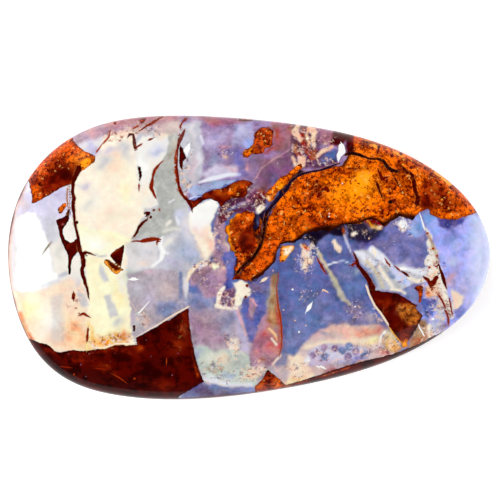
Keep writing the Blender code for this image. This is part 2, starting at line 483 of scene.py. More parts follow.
    GREY_PANELS = (
        Patch(T.WARM_WHITE, [(-11.3, 11.4), (-10.5, 12.1), (-9.6, 12.3), (-8.2, 12.4), (-8.1, 11.9),
              (-8.05, 11), (-8.3, 10.2), (-8.7, 9.6), (-9.5, 8.5), (-9.7, 7.6), (-9.3, 6.2), (-9.25, 5.2),
              (-10.7, 4.8), (-11, 7.5), (-11.1, 9.5)], 0.1),
        Bloom(T.MILK, (-10.6, 9.4), (0.6, 1.6), 0.95), Bloom(T.PALE_SKY, (-9.1, 11), (0.9, 0.9), 0.55),
        Bloom(T.HAZE_BLUE, (-8.8, 10.7), (0.4, 0.3), 0.5), Bloom(T.CREAM, (-10.3, 6), (0.6, 1.2), 0.9),
        Patch(T.SAGE_GREY, [(-8.1, 12.4), (-6.8, 12.4), (-7.2, 10.7), (-7.35, 9), (-7.1, 7.3), (-6.4, 5.9),
              (-6, 5), (-9.2, 4.8), (-9.2, 5.6), (-9.3, 6.2), (-9.7, 7.6), (-9.5, 8.5), (-8.7, 9.6),
              (-8.3, 10.2), (-8.05, 11)], 0.1),
        Bloom(T.TAN, (-7.7, 10.6), (0.3, 1.3), 0.3), Bloom(T.WARM_WHITE, (-7.7, 11.9), (0.3, 0.8), 0.5),
        Patch(T.SAGE_GREY, [(-11.5, 2), (-11, 3.2), (-10.2, 4), (-9.4, 4.9), (-6.6, 5.8), (-6.1, 4.8),
              (-6.2, 3.4), (-7, 2.7), (-8.4, 2.3), (-9, 1.95)]),
        Stroke(T.COOL_WHITE, [(-8, 5.5), (-7.5, 5.8)], 0.16, 0.1, 0.8),
        Bloom(T.PALE_SKY, (-6.6, 4), (0.5, 1), 0.8),
        Stroke(T.COOL_WHITE, [(-7.3, 4.1), (-7.15, 3.7), (-7, 3.3)], (0.12, 0.3, 0.2), 0.1),
        *strokes(T.WARM_WHITE, ([(-8.2, 3.3), (-7.9, 3.6)], 0.35, 0.15, 0.9), ([(-8.5, 2.6), (-7.6, 2.9),
                 (-6.9, 2.8)], 0.3, 0.2, 0.7)),
        Patch(T.PEARL, [(-12.3, 1.4), (-11.4, 1.6), (-9.2, 1.8), (-9, 0.4), (-9.4, -1),
              (-12.2, -1.4)], 0.2),
        Bloom(T.SAGE_GREY, (-11.4, 1), (0.6, 0.4), 0.6), Bloom(T.PEACH, (-10.8, -0.3), (0.5, 0.3), 0.5),
        Bloom(T.PEARL_GREY, (-10, 0.7), (0.7, 0.4)), Bloom(T.SEA_GLASS, (-11.9, -1.4), (0.4, 0.8), 0.8),
        Patch(T.MAUVE_GREY, [(-12.1, -1.6), (-9.5, -1.1), (-7.1, -1.2), (-6.9, -2.2), (-6, -5.1),
              (-8, -6.4), (-11.3, -8.1), (-11.6, -7.5), (-11.85, -6), (-12.05, -4)]),
        Bloom(T.PINK, (-10.3, -1.5), (0.5, 0.2), 0.5), Bloom(T.PEARL_GREY, (-11, -3.4), (0.9, 1)),
        Bloom(T.BLUSH_GREY, (-8.2, -3), (0.9, 0.7)), Bloom(T.LILAC, (-9.6, -4.4), (0.8, 0.5), 0.5),
        Patch(T.SLATE, [(-9, -4.6), (-7.4, -4.4), (-6.9, -5), (-8.2, -5.9), (-9.4, -5.6)], 0.3, 0.75),
        Bloom(T.SAGE_GREY, (-11.1, -6.6), (0.5, 0.9), 0.6), Bloom(T.PEACH, (-10.5, -6.2), (0.3, 0.3), 0.5),
        Stroke(T.SLATE, [(-6.85, -1.4), (-6.8, -3.9)], 0.35, 0.12, 0.85),
        Stroke(T.PEARL, [(-6.35, -2.2), (-6.1, -4.9)], 0.4, 0.12, 0.9),
        Patch(T.PEARL_GREY, [(-8.2, 0.9), (-7.4, 1.9), (-5.9, 2.5), (-5.3, 1.6), (-4.7, 0.8), (-4.4, 0),
              (-5.4, -0.9), (-6.2, -1.6), (-8.9, -1), (-8.6, 0)], 0.25),
        Bloom(T.HAZE_BLUE, (-6.2, 0.8), (1.2, 1), 0.6), Bloom(T.PALE_LILAC, (-6, 3), (0.6, 1.2), 0.8),
        Bloom(T.SLATE, (-5.4, 0.3), (0.5, 0.6), 0.25), Bloom(T.LILAC, (-7.4, -0.6), (1, 0.5), 0.6),
        Bloom(T.WARM_WHITE, (-8.2, 1.4), (0.6, 0.6), 0.9),
        *strokes(T.MILK, ([(-8.7, 2), (-8.9, 1.2), (-8.6, 0.6), (-8.8, -0.2), (-9.3, -0.6), (-9.7, -0.9)],
                 (0.25, 0.4, 0.55, 0.3, 0.25), 0.12, 0.9), ([(-8.7, 0.6), (-8.1, 0.4)], 0.25, 0.12, 0.8)),
    )
    VIOLET_TOP = (
        Patch(T.VIOLET, [(-6.9, 14.6), (-6.4, 12.4), (-6.8, 9), (-6.8, 6.8), (-6, 6), (-4.5, 6.8),
              (-2, 7.9), (0.4, 7.6), (1.6, 6), (3.2, 7), (4.5, 8.2), (10.5, 9.3), (10.5, 14), (0, 15)]),
        Patch(T.PEARL_GREY, [(-6.9, 13.4), (-4.8, 13.6), (-4.6, 11), (-4.6, 8.4), (-5.2, 7.2), (-6.6, 6.4),
              (-6.9, 9)], 0.3),
        Bloom(T.PEARL, (-5.4, 12.6), (0.35, 1.1), 0.9), Bloom(T.PINK, (-5.4, 9.4), (0.4, 1.4), 0.4),
        Bloom(T.COOL_WHITE, (-5.2, 10.2), (0.25, 0.9), 0.8),
        Bloom(T.SAGE_GREY, (-6.6, 7.6), (0.4, 0.7), 0.6), Bloom(T.COOL_WHITE, (-6.2, 6.9), (0.25, 0.4)),
        Bloom(T.LILAC, (-3.8, 11.6), (1, 1), 0.9),
        Stroke(T.COOL_WHITE, [(-4.8, 12.1), (-4.6, 11.4)], 0.25, 0.12, 0.8),
        Bloom(T.PINK, (-2.2, 10.8), (0.8, 0.25)), Bloom(T.HAZE_BLUE, (-3.7, 9.6), (0.7, 0.8), 0.8),
        Bloom(T.BLUE, (-1.2, 9.8), (0.7, 0.9), 0.75), Bloom(T.LILAC, (-2.6, 12.2), (0.8, 0.7)),
        Patch(T.PALE_LILAC, [(-4.9, 8.3), (-3.4, 9.2), (-1.2, 9.2), (-1.1, 8.2), (-2, 8.2),
              (-4, 7.7)], 0.3, 0.85),
        Bloom(T.PINK, (-2.2, 8.9), (0.8, 0.2), 0.5),
        Stroke(T.ROSE, [(-5.2, 14.3), (-3, 14.1), (-0.8, 13.9)], (0.6, 1.8, 1), 0.3, 0.85),
        Bloom(T.CORAL, (-3.8, 13.7), (0.9, 0.3), 0.4), Bloom(T.PEACH, (-2.45, 9.75), (0.25, 0.2), 0.9),
        Stroke(T.COOL_WHITE, [(-5, 7.5), (-4.4, 7.7), (-3, 8.05), (-2, 8.3), (-0.9, 8.3)], (0.2, 0.5, 0.4,
               0.2), 0.12),
        Patch(T.HAZE_BLUE, [(-6, 6.6), (-5.5, 7.1), (-4.5, 7.35), (-3.5, 7.65), (-2, 7.8), (-1.4, 7.75),
              (-1.7, 7.5), (-3, 7), (-4.2, 6.7), (-5, 6.2), (-5.4, 6), (-5.7, 6.1)], 0.08),
        Patch(T.LAVENDER, [(-1.6, 11.2), (-1.3, 13.2), (0.2, 13.6), (0.6, 12.2), (0.1, 11.1)], 0.3, 0.9),
        Bloom(T.PALE_LILAC, (-0.9, 12.4), (0.5, 0.6)), Bloom(T.SKY, (0.15, 11.4), (0.4, 0.5)),
        Bloom(T.BLUE, (-0.9, 8.9), (0.4, 0.5)),
        Patch(T.ROSE, [(2.2, 13.9), (2.3, 11.6), (2.1, 10.9), (3.6, 10.6), (4.6, 11.2),
              (4.3, 13.8)], 0.3, 0.9),
        *blooms(T.BURNT, ((2.7, 12.4), (0.4, 1.2), 0.6), ((2, 10.7), (0.8, 0.3), 0.55)),
        Patch(T.DUSK, [(0.8, 10), (2.4, 9.8), (4.3, 10.8), (4.6, 8.6), (1.8, 6.4), (0.6, 7.4),
              (0.9, 8.4)], 0.3, 0.9),
        Bloom(T.MAUVE, (0, 9.3), (0.8, 0.6)), Bloom(T.ROSE, (2.6, 9.6), (1.2, 0.3), 0.5, 25),
        Bloom(T.SLATE_BLUE, (2.4, 7.6), (0.7, 0.5), 0.5),
        Stroke(T.PINK, [(4.6, 11.1), (3.6, 10.5), (3, 10.1), (2.4, 9.8), (1.8, 9.3), (1.2, 8.9), (0.9, 8.3),
               (0.5, 7.7)], 0.1, 0.08, 0.7),
        Bloom(T.PINK, (-0.3, 9.4), (0.2, 0.3), 0.9),
        Patch(T.PLUM, [(4.2, 13.5), (4.3, 12), (4.4, 8.8), (7, 9), (8.8, 9.3), (8.6, 10.4), (6.8, 10.9),
              (7, 13.1)], 0.2, 0.85),
        Bloom(T.BURNT, (4.5, 12.6), (0.4, 0.8), 0.5), Bloom(T.DUSK, (6, 9.3), (1.2, 0.3)),
        Stroke(T.BURNT, [(5.5, 12.9), (5.3, 12), (5.5, 11.2), (5.2, 10.4)], (0.3, 0.6, 0.4), 0.15, 0.8),
        *strokes(T.PEACH, ([(4.9, 13.2), (4.6, 12.5), (4.95, 12.1), (5.15, 11.7)], (0.5, 0.7, 0.35), 0.12),
                 ([(6.2, 12.9), (6.6, 12.4), (6.4, 11.7), (6.5, 11.1)], (0.8, 0.6, 0.4), 0.12), ([(4.4, 10),
                 (4.6, 9.4)], 0.35, 0.12)),
        Stroke(T.APRICOT, [(5.9, 12.9), (5.75, 12.2), (6, 11.5), (5.85, 10.9)], (0.2, 0.35, 0.2), 0.1, 0.9),
        Stroke(T.RUST, [(4.75, 11.4), (4.6, 10.7), (4.9, 10.2)], (0.2, 0.35, 0.15), 0.1, 0.8),
        Stroke(T.DUSK, [(6.95, 12.8), (6.8, 12), (6.95, 11.3)], 0.3, 0.12, 0.8),
        Patch(T.PEACH, [(5, 10.2), (5.6, 10), (5.6, 9.2), (4.9, 8.8), (4.6, 9)]),
        Patch(T.BURNT, [(5.2, 10.5), (5.9, 11.1), (6.8, 10.8), (6.7, 9.9), (6.2, 9.6), (5.8, 10.2)]),
        Patch(T.ROSE, [(6.9, 13), (6.9, 11.3), (8.4, 11.4), (8.9, 12.7)], 0.25, 0.9),
        Patch(T.DARK_MAROON, [(8.5, 12.8), (8.3, 11.3), (8.8, 11.3), (9.7, 11.5), (9.9, 10.2), (10.6, 10.8),
              (10.4, 12.6)], 0.15),
        Bloom(T.DARK_MAROON, (9.4, 12.2), (0.9, 0.3), 0.8),
        Patch(T.SLATE_BLUE, [(7, 9.7), (7.6, 10.3), (8.7, 10.9), (8.7, 9.7), (7.6, 9.3)], 0.15),
        Stroke(T.PEACH, [(6.8, 10.1), (7.3, 10.6), (8, 10.9), (8.3, 11.1)], (0.3, 0.45, 0.3), 0.12),
    )
    # Along the top rim the mauve, coral and rose band is a painted reflection on the falling shoulder; the
    # lavender and pale lilac beside it are the opal's own.
    TOP_RIM_TINTS_AND_REFLECTION = (
        Stroke(T.MAUVE, [(-18.6, 11.4), (-17, 12.4), (-14.6, 13.3), (-12, 13.95), (-9.9, 14.2), (-6, 14.3)],
               (1.4, 2.2, 2.2, 1.6, 0.8), 0.35, 0.8),
        Bloom(T.SALMON, (-15.4, 12.5), (0.9, 0.4), 0.3, 20),
        Stroke(T.CORAL, [(-14.2, 13.3), (-12, 13.9), (-9.9, 14.1), (-7.6, 14.2)],
               (0.7, 1.2, 0.9), 0.35, 0.35),
        Bloom(T.LAVENDER, (-15.8, 11), (0.6, 0.6), 0.85),
        Stroke(T.PALE_LILAC, [(-16.9, 11.2), (-15.6, 11.7), (-14.3, 12.1)], 0.12, 0.1, 0.6),
        Bloom(T.ROSE, (-11.4, 13.6), (2, 0.5), 0.5),
    )
    TOOTH_AND_KNOT = (
        Patch(T.MAUVE, [(-3.5, 3.4), (-3.1, 4.4), (-2.5, 3.8), (-2.3, 2.6), (-2.1, 0.8), (-1.9, -1),
              (-2.3, -3), (-3.4, -0.4), (-3.7, 0.8), (-3.5, 2)], 0.15),
        *blooms(T.SLATE_BLUE, ((-3, 2.2), (0.3, 0.8), 0.6), ((-3.1, 0.7), (0.4, 0.5), 0.5)),
        Bloom(T.PEACH, (-2.1, 1), (0.2, 0.6), 0.8), Bloom(T.PEARL, (-5.9, 3), (0.7, 1.4), 0.8),
        Patch(T.PEACH_CREAM, [(-5.5, 2.4), (-5.2, 1), (-4.6, -0.1), (-4, -0.4), (-3.6, 0.2),
              (-3.5, 2.6)], 0.25, 0.85),
        Patch(T.CREAM, [(-5.6, 5), (-5, 5.4), (-4.2, 5.8), (-3.6, 5.9), (-3.2, 5.7), (-3.1, 5.2),
              (-3.3, 4.6), (-3.6, 3.8), (-4, 3.4), (-3.9, 2.8), (-3.5, 2.2), (-3.5, 1.4), (-3.7, 0.8),
              (-3.9, 0.3), (-4.2, 0), (-4.5, 0.2), (-4.7, 0.8), (-5.3, 1.6), (-5.6, 2.2), (-5.9, 2.9),
              (-6.1, 3.5), (-6, 4.2)]),
        Patch(T.MILK, [(-5.9, 4.6), (-5, 5.3), (-4.2, 5.8), (-3.4, 5.9), (-3.15, 5.2), (-3.3, 4.6),
              (-3.7, 3.8), (-4.1, 3.3), (-5, 2.6), (-5.9, 3)], 0.3, 0.9),
        Bloom(T.PINK, (-3.9, 1.4), (0.25, 1), 0.35), Bloom(T.PEACH, (-4.1, 1.6), (0.4, 1), 0.6),
        Bloom(T.PINK, (-5, 2.6), (0.7, 0.5), 0.4),
        Patch(T.BLUE, [(-2.6, 0.5), (-1.7, 0.5), (-1.2, -0.4), (-1.6, -1.6), (-1.6, -3), (-2.4, -3.1),
              (-2.3, -1.6)], 0.15),
        Bloom(T.SKY, (-2.1, -0.4), (0.3, 0.4), 0.6), Bloom(T.INDIGO, (-1.9, -2.4), (0.3, 0.6), 0.8),
        Patch(T.MAUVE, [(-5.9, -2.2), (-5.7, -1.5), (-4.9, -0.9), (-4.2, -0.6), (-3.4, -0.4), (-2.6, -0.8),
              (-2.3, -2), (-2.6, -3.2), (-3.2, -4), (-4.4, -4), (-5, -3.2), (-5.8, -2.8)], 0.2),
        Bloom(T.VIOLET, (-4, -2.6), (1, 0.7)), Bloom(T.ROSE, (-4.4, -1.5), (0.6, 0.3), 0.5),
        Bloom(T.SLATE_BLUE, (-5.5, -3.2), (0.4, 0.4), 0.9),
        Stroke(T.PEACH_CREAM, [(-6.2, -2.4), (-5.9, -1.5), (-5.4, -1), (-4.8, -0.5), (-4.3, -0.2)], (0.2,
               0.5, 0.3, 0.2), 0.1),
        Stroke(T.MILK, [(-4.8, -0.8), (-4.2, -0.6)], 0.3, 0.1),
        Patch(T.LEMON_CREAM, [(-3.8, -0.5), (-3, -0.7), (-2.9, -1.1), (-3.4, -1.2), (-3.7, -1)], 0.1),
        Bloom(T.PEACH, (-2.6, -1.2), (0.3, 0.3), 0.9),
        Patch(T.DUSK, [(-3, -3.4), (-1.5, -3), (-1.4, -4.6), (-2, -5), (-3, -4.8)], 0.15),
        *strokes(T.CREAM, ([(-2.5, -3), (-2.9, -3.5), (-3.1, -4.4)], (0.3, 0.5, 0.4), 0.1), ([(-3.2, -4.8),
                 (-2.6, -5), (-1.8, -5.1), (-1.2, -5.05)], (0.5, 0.3, 0.25), 0.1)),
        Patch(T.CREAM, [(-1.7, -2.5), (-0.8, -2.4), (-0.1, -2.6), (0.15, -3.2), (-0.05, -3.8), (-0.6, -4.1),
              (-0.8, -4.7), (-1.4, -4.9), (-1.6, -4.2), (-1.4, -3.4)], 0.1),
    )
    BRUISE = (
        Patch(T.PLUM, [(-3, 5), (-2.3, 5.8), (-1, 6.2), (0.2, 7.2), (1.6, 7), (1.8, 6), (1.5, 4.6),
              (0.4, 4), (-0.8, 4.4), (-1.6, 4.4), (-2.2, 3.8), (-3.1, 3)], 0.15),
        Stroke(T.SLATE_BLUE, [(-2.4, 4.5), (-1.8, 4.9), (-1, 5.1)], (0.4, 0.3, 0.1), 0.12),
        Stroke(T.LILAC, [(-1.1, 5.3), (-0.2, 5.6)], 0.2, 0.12, 0.8),
        Bloom(T.MAUVE, (0.4, 6.6), (0.8, 0.5), 0.8), Bloom(T.MAUVE_GREY, (-0.6, 5), (0.6, 0.2), 0.6),
        Bloom(T.BURNT, (-2.6, 4.4), (0.4, 0.5), 0.5), Bloom(T.ROSE, (0.9, 6.3), (0.6, 0.4), 0.6),
        Bloom(T.BURNT, (1.3, 6.1), (0.35, 0.6), 0.8), Bloom(T.PINK, (0.3, 5.3), (0.2, 0.25), 0.9),
        Patch(T.CREAM, [(0.7, 5), (1.3, 5.2), (1.6, 4.9), (1.2, 4.5), (0.9, 4.2), (0.7, 4.6)], 0.1),
        Patch(T.NIGHT, [(0.2, 4.3), (1.2, 4.5), (1.6, 4.8), (2.2, 5.5), (3, 6.3), (3.8, 7.4), (4.4, 8.3),
              (5.2, 8.8), (5.6, 8.5), (4.6, 7.8), (3.9, 6.8), (3.2, 6), (2.5, 5), (2.1, 4.4), (2, 3),
              (1.9, 2.2), (1.8, 1.5), (1.5, 0.8), (1.1, 0.1), (0.4, -0.7), (-0.4, -1.5), (-1.6, -2),
              (-1.3, 0), (-0.6, 2)], 0.1),
        Patch(T.DARK_MAROON, [(0.4, 2.6), (1.3, 3), (1.9, 2.8), (1.6, 1), (0.4, -0.6), (-0.5, -1.3),
              (-1.4, -0.8), (-0.6, 0.4)], 0.15),
        Bloom(T.BLUE, (2, 4.8), (0.25, 0.5), 0.9, -40),
        Bloom(T.SLATE_BLUE, (2.7, 5.8), (0.3, 0.5), 0.5, -40), Bloom(T.SLATE, (0.75, 3.6), (0.2, 0.7)),
        Bloom(T.INDIGO, (0, -0.7), (0.4, 0.15), 0.8, 30),
    )
    SLATE_WEDGE = (
        Patch(T.MAUVE_GREY, [(-6.05, -3.4), (-6.05, -4.6), (-6, -7), (-5.55, -9.4), (-4.8, -12),
              (-4.4, -13), (1.2, -13.6), (3.2, -12.6), (1.4, -9), (0, -5.2), (-1.2, -4.6), (-3, -4.6),
              (-4, -4)]),
        Bloom(T.SLATE, (-5.3, -4.6), (1, 1.1), 0.9),
        *blooms(T.MAUVE, ((-3.6, -6.6), (2, 1.6), 0.6), ((-4.6, -7.4), (0.9, 1.6), 0.75)),
        Bloom(T.DUSK, (-3.7, -6.8), (2.2, 1.7), 0.28), Bloom(T.BLUSH_GREY, (-4.4, -6), (0.6, 0.5), 0.4),
        Bloom(T.MAUVE, (-3.2, -8.5), (0.8, 0.6), 0.9), Bloom(T.MAUVE_GREY, (-2.6, -5.8), (0.7, 0.5), 0.8),
        Bloom(T.HAZE_BLUE, (-2, -7.2), (0.6, 0.9), 0.6), Bloom(T.DUSK, (-5.6, -7), (0.3, 1.2), 0.5),
        *blooms(T.SLATE, ((-4.8, -4.5), (1.6, 0.6)), ((-2, -6.2), (1, 0.8), 0.4)),
        Patch(T.SEA_GLASS, [(-5.4, -8.9), (-4.9, -8.8), (-4.2, -8.9), (-3.6, -9.4), (-2, -9.2), (-1, -9.1),
              (0, -9.9), (0.8, -10.8), (1, -11.8), (0.6, -12.8), (-1, -12.9), (-3, -12.7), (-4.5, -12.2),
              (-5, -10.8)], 0.2),
        Bloom(T.SLATE, (-5.1, -9.6), (0.3, 0.9), 0.6, 15), Bloom(T.CREAM, (-3.4, -10.3), (0.8, 0.6)),
        Bloom(T.PEACH, (-2.6, -10.1), (0.5, 0.4)), Bloom(T.TAN, (-3.4, -11.4), (0.5, 0.3), 0.5),
        Bloom(T.SAGE_GREY, (-1.4, -10.2), (0.7, 0.6), 0.8),
        Bloom(T.PEACH_CREAM, (0.2, -11.4), (0.7, 0.6), 0.8),
        Bloom(T.HAZE_BLUE, (-1.7, -11.6), (0.5, 0.35), 0.8),
        Bloom(T.COOL_WHITE, (-2.9, -12.2), (1.4, 0.3), 0.9),
        Stroke(T.COOL_WHITE, [(-4.5, -12.2), (-3, -12.55), (-1.4, -12.75), (0.2, -12.7)], 0.35, 0.2, 0.8),
        Patch(T.SLATE, [(-7.2, -14), (-5.8, -13.2), (-4.5, -12.6), (-2, -13), (1.2, -13), (1, -14.2),
              (-6, -15)]),
        Bloom(T.PLUM, (-4, -13.5), (2.6, 0.5), 0.6), Bloom(T.MAUVE_GREY, (-3, -13.1), (1.2, 0.2), 0.4),
        Stroke(T.DARK_MAROON, [(-7, -14.3), (-3, -14), (1, -13.6), (3, -13.2)], 0.4, 0.15, 0.8),
        Patch(T.LILAC, [(-1.6, -5.2), (-1, -5.2), (-0.3, -8), (0.2, -9.6), (-0.8, -9.4),
              (-1.2, -7)], 0.25, 0.7),
        Stroke(T.PINK, [(-1.2, -5.1), (-0.95, -5.9), (-0.7, -6.6), (-0.45, -7.2), (-0.3, -7.8)],
               (0.25, 0.2, 0.12), 0.08, 0.9),
        Patch(T.CREAM, [(-1.8, -8.1), (-1.1, -8.1), (-1.1, -9.4), (-2, -9.1)], 0.2, 0.8),
    )
    BLUE_TONGUE = (
        Patch(T.SLATE_BLUE, [(-0.8, -4.6), (-1, -3.4), (0.4, -2.6), (1.4, -1.6), (2.6, -0.4), (3, -1.5),
              (2.7, -3), (2.75, -4), (2, -5.4), (-0.6, -5.4)], 0.15),
        Bloom(T.DUSK, (0.8, -3.4), (0.8, 0.6), 0.6), Bloom(T.NIGHT, (0.6, -2.4), (0.7, 0.25), 0.7, 35),
        Patch(T.BLUE, [(-0.8, -5.2), (-0.4, -7), (-0.1, -8.3), (0.3, -8.6), (0.7, -7.9), (0.9, -6.8),
              (1.4, -6.2), (1.7, -5.2), (1.8, -4), (1.2, -3.4), (0, -3.6)], 0.15, 0.85),
        Bloom(T.DUSK, (-0.3, -5.8), (0.3, 0.6), 0.6),
        Patch(T.MAUVE, [(0, -4.2), (0.3, -4.1), (0.8, -4.8), (0.6, -5.5), (0.4, -6), (0, -5.6),
              (-0.1, -4.9)], 0.08),
        Stroke(T.PINK, [(0.1, -4.1), (0.4, -4.3), (0.75, -4.8)], 0.16),
        Patch(T.MAUVE, [(3.15, -9), (3, -9.9), (2.2, -10.9), (1.2, -11.3), (0.2, -11), (0, -9.6),
              (0.3, -8.5), (0.8, -7.4), (1, -6.6), (1.7, -5.6), (2.1, -4.2), (2.2, -2), (2.8, -1.8),
              (2.7, -3), (2.75, -4), (2.9, -5), (3.1, -6), (3.2, -7), (3.25, -8)], 0.15),
        Patch(T.TAN, [(2, -5.4), (2.2, -3), (2.4, -1.8), (2.9, -1.6), (2.75, -4), (3, -6.6), (2.4, -7),
              (1.8, -6.4)], 0.25),
        Bloom(T.BEIGE, (2.3, -4), (0.3, 1.2)), Bloom(T.APRICOT, (2.5, -5.8), (0.3, 0.7), 0.6),
        Bloom(T.CORAL, (1.7, -7.4), (0.6, 0.8), 0.8), Bloom(T.ROSE, (1.4, -8.6), (0.7, 1.1), 0.65),
        Bloom(T.CORAL, (2.6, -9.1), (0.8, 1), 0.75), Bloom(T.SALMON, (0.9, -9.6), (0.5, 0.6), 0.5),
        Bloom(T.BURNT, (1.2, -10.6), (0.6, 0.3), 0.5),
        Stroke(T.CORAL, [(2.75, -4.6), (2.95, -6), (3.1, -7.4), (3.15, -8.6), (2.9, -9.6)],
               (0.15, 0.4, 0.2), 0.15, 0.8),
        Stroke(T.APRICOT, [(2, -7.1), (2.6, -7.7), (2.8, -8.3)], (0.15, 0.3, 0.15)),
        Stroke(T.CREAM, [(2.25, -8.1), (2.75, -8.7)]), Bloom(T.CREAM, (0.9, -11.3), (0.5, 0.3), 0.9),
        Bloom(T.PEACH_CREAM, (0.3, -12.2), (0.6, 0.3), 0.9),
    )
    SLATE_FIELD = (
        Patch(T.SLATE_BLUE, [(2.6, -0.8), (2.9, 0.6), (3.3, 1.3), (4.8, 1.5), (6, 2.6), (8, 2.8), (10, 3.5),
              (11.2, 0.4), (12, -2.6), (13.6, -6), (13.7, -7.2), (11, -6.9), (8.6, -6.8), (6.2, -7.7),
              (4.4, -9.6), (3.2, -9), (3.05, -6), (2.75, -4)], 0.1),
        Patch(T.NIGHT, [(5, 1.9), (6, 2.6), (8, 2.9), (9.6, 3.4), (9.4, 2.2), (8, 2.3), (7, 1.8), (6.6, 1),
              (6, 1.8)], 0.15),
        Bloom(T.SLATE, (7.3, 1.5), (0.5, 0.4), 0.6),
        *blooms(T.INDIGO, ((3.4, -0.6), (0.6, 0.5), 0.3), ((3.3, -5), (0.3, 2.6), 0.25)),
        *blooms(T.SLATE, ((3.9, -8.6), (0.6, 1.2), 0.8), ((5.4, -6.4), (1.4, 1.2), 0.6),
                ((6.6, -4.4), (1.6, 1)), ((4.6, -7.8), (1.1, 1.2), 0.8)),
        Bloom(T.HAZE_BLUE, (7.8, -6.2), (1.2, 0.5), 0.5), Bloom(T.INDIGO, (8, -1.4), (0.8, 0.7), 0.35),
        Bloom(T.HAZE_BLUE, (9.6, -1.4), (0.8, 0.9), 0.4), Bloom(T.SAGE_GREY, (10.4, -1.5), (0.3, 0.5), 0.6),
        Bloom(T.SLATE, (10.6, -3.4), (0.9, 0.8), 0.6), Bloom(T.MAUVE, (10.6, -5.6), (1, 0.8), 0.6),
        Bloom(T.BLUSH_GREY, (11.9, -5.8), (0.6, 0.6)),
        Patch(T.PEACH_CREAM, [(5.2, 1.5), (5.9, 1.2), (6.4, 1.7), (6.6, 1.3), (6.2, 0.9), (6.2, 0.2),
              (6.5, -0.2), (6.4, -0.7), (5.9, -0.7), (5.7, -1.3), (5.2, -1.2), (5.5, -0.5), (5.2, 0.2),
              (5.4, 0.8)], 0.1),
        Stroke(T.ORANGE, [(5.5, 1.2), (5.9, 0.8)], 0.3, 0.1),
        Patch(T.PEACH_CREAM, [(8.2, 1.6), (8.5, 1.95), (8.8, 1.5), (9.2, 0.9), (9.2, 0.3), (8.8, 0.5),
              (8.5, 1.1)], 0.08),
        Stroke(T.COOL_WHITE, [(7.8, -0.8), (8.4, -0.55), (9, -0.4), (9.5, -0.35), (10.1, -0.6)],
               (0.18, 0.14, 0.08), 0.07),
        Patch(T.BEIGE, [(6.65, 1.2), (7.1, 0.6), (7.9, -0.9), (8.9, -2.6), (9.6, -4), (10.2, -4.8),
              (9.9, -4.9), (9.4, -4.4), (8.7, -3.2), (7.8, -1.6), (7, 0)], 0.08),
        Stroke(T.SAGE_GREY, [(8, -1.6), (8.8, -3), (9.5, -4.2)], (0.1, 0.3, 0.4), 0.12, 0.7),
        Stroke(T.PALE_LILAC, [(9.5, 2.3), (9.8, 1.5), (10.3, 0.3)], (0.25, 0.25, 0.1), 0.08, 0.9),
        Stroke(T.BURNT, [(9.4, 3), (9.5, 2.4)], 0.25, 0.1, 0.9),
    )
    PEACH_GLOW = (
        Patch(T.BLUSH_GREY, [(3.2, -9.8), (4.6, -9.6), (5.3, -8.9), (6.2, -7.8), (7.3, -7.2), (8.6, -6.9),
              (9.5, -6.7), (11, -6.9), (12.5, -6.6), (13.7, -7.2), (13.4, -9), (14.4, -10.6), (3, -13.4),
              (1, -12.6)], 0.2),
        Bloom(T.PINK, (7, -7.8), (0.8, 0.4), 0.6), Bloom(T.SLATE, (7.7, -7.8), (0.5, 0.3), 0.6),
        *blooms(T.PEACH, ((8.6, -7.4), (1.2, 0.35)), ((10.6, -7.3), (1.4, 0.6), 0.9)),
        Bloom(T.SALMON, (12, -7.4), (1.1, 0.6), 0.85), Bloom(T.PINK, (9.4, -7.2), (1.4, 0.35), 0.45),
        Stroke(T.PEACH_CREAM, [(5.6, -9), (8, -8.4), (10, -8.4), (12.4, -8.4)], (0.4, 0.5, 0.8), 0.25, 0.9),
        Patch(T.LILAC, [(5.8, -9.5), (7, -8.8), (9, -8.7), (11.8, -9), (12, -10), (9, -10.6),
              (6, -10.8)], 0.2, 0.9),
        Bloom(T.LEMON, (12.7, -8.5), (0.7, 0.5), 0.6), Bloom(T.COOL_WHITE, (8.4, -9.5), (2.4, 0.5), 0.6),
        *dots(T.VIOLET, 0.7, (7.5, -9), (6.4, -9.8), (8.6, -9.1)),
        *dots(T.SLATE, 0.8, (7.6, -9.9), (9.3, -9.3), (10, -8.9), (11.5, -9.7)),
        *dots(T.VIOLET, 0.75, (10.7, -9.4), (9.9, -9.9)),
        Patch(T.PEACH_CREAM, [(4, -9.8), (5, -9.5), (5.8, -10.4), (6.6, -11.6), (6, -12.6), (3.6, -13),
              (3.9, -11)], 0.25),
        Patch(T.SLATE, [(3.1, -9.6), (3.8, -9.8), (3.6, -10.8), (2.8, -11), (2.5, -10.6)], 0.2, 0.8),
        Bloom(T.MAUVE_GREY, (3.3, -11.4), (0.6, 0.5), 0.8), Bloom(T.AMBER, (4.4, -12.4), (1, 0.3), 0.45),
        Bloom(T.COOL_WHITE, (5.9, -10.4), (0.3, 0.4), 0.9), Bloom(T.MAUVE, (8, -10.9), (1, 0.4), 0.6),
        Bloom(T.BLUE, (10.6, -10.2), (1.4, 0.35), 0.8, 8),
        Bloom(T.BURNT, (9.6, -10.9), (1.6, 0.25), 0.6, 12),
        Stroke(T.CREAM, [(3.1, -9.8), (2.6, -10.3), (2.1, -11), (1.6, -11.5), (1.2, -12.1), (0.8, -12.6)],
               (0.35, 0.25, 0.3), 0.1),
        Patch(T.BEIGE, [(13.5, -7.3), (14.7, -7.3), (14.6, -9), (13.7, -9.3)], 0.2),
        Bloom(T.HONEY, (14.2, -8.7), (0.8, 0.4)), Bloom(T.YELLOW_ORANGE, (14.6, -8.9), (0.5, 0.4), 0.85),
        Bloom(T.CORAL, (14.4, -9.6), (0.8, 0.35), 0.9),
        Stroke(T.MILK, [(13.6, -7.4), (13.2, -8), (13.05, -8.8)], (0.25, 0.2, 0.12)),
    )
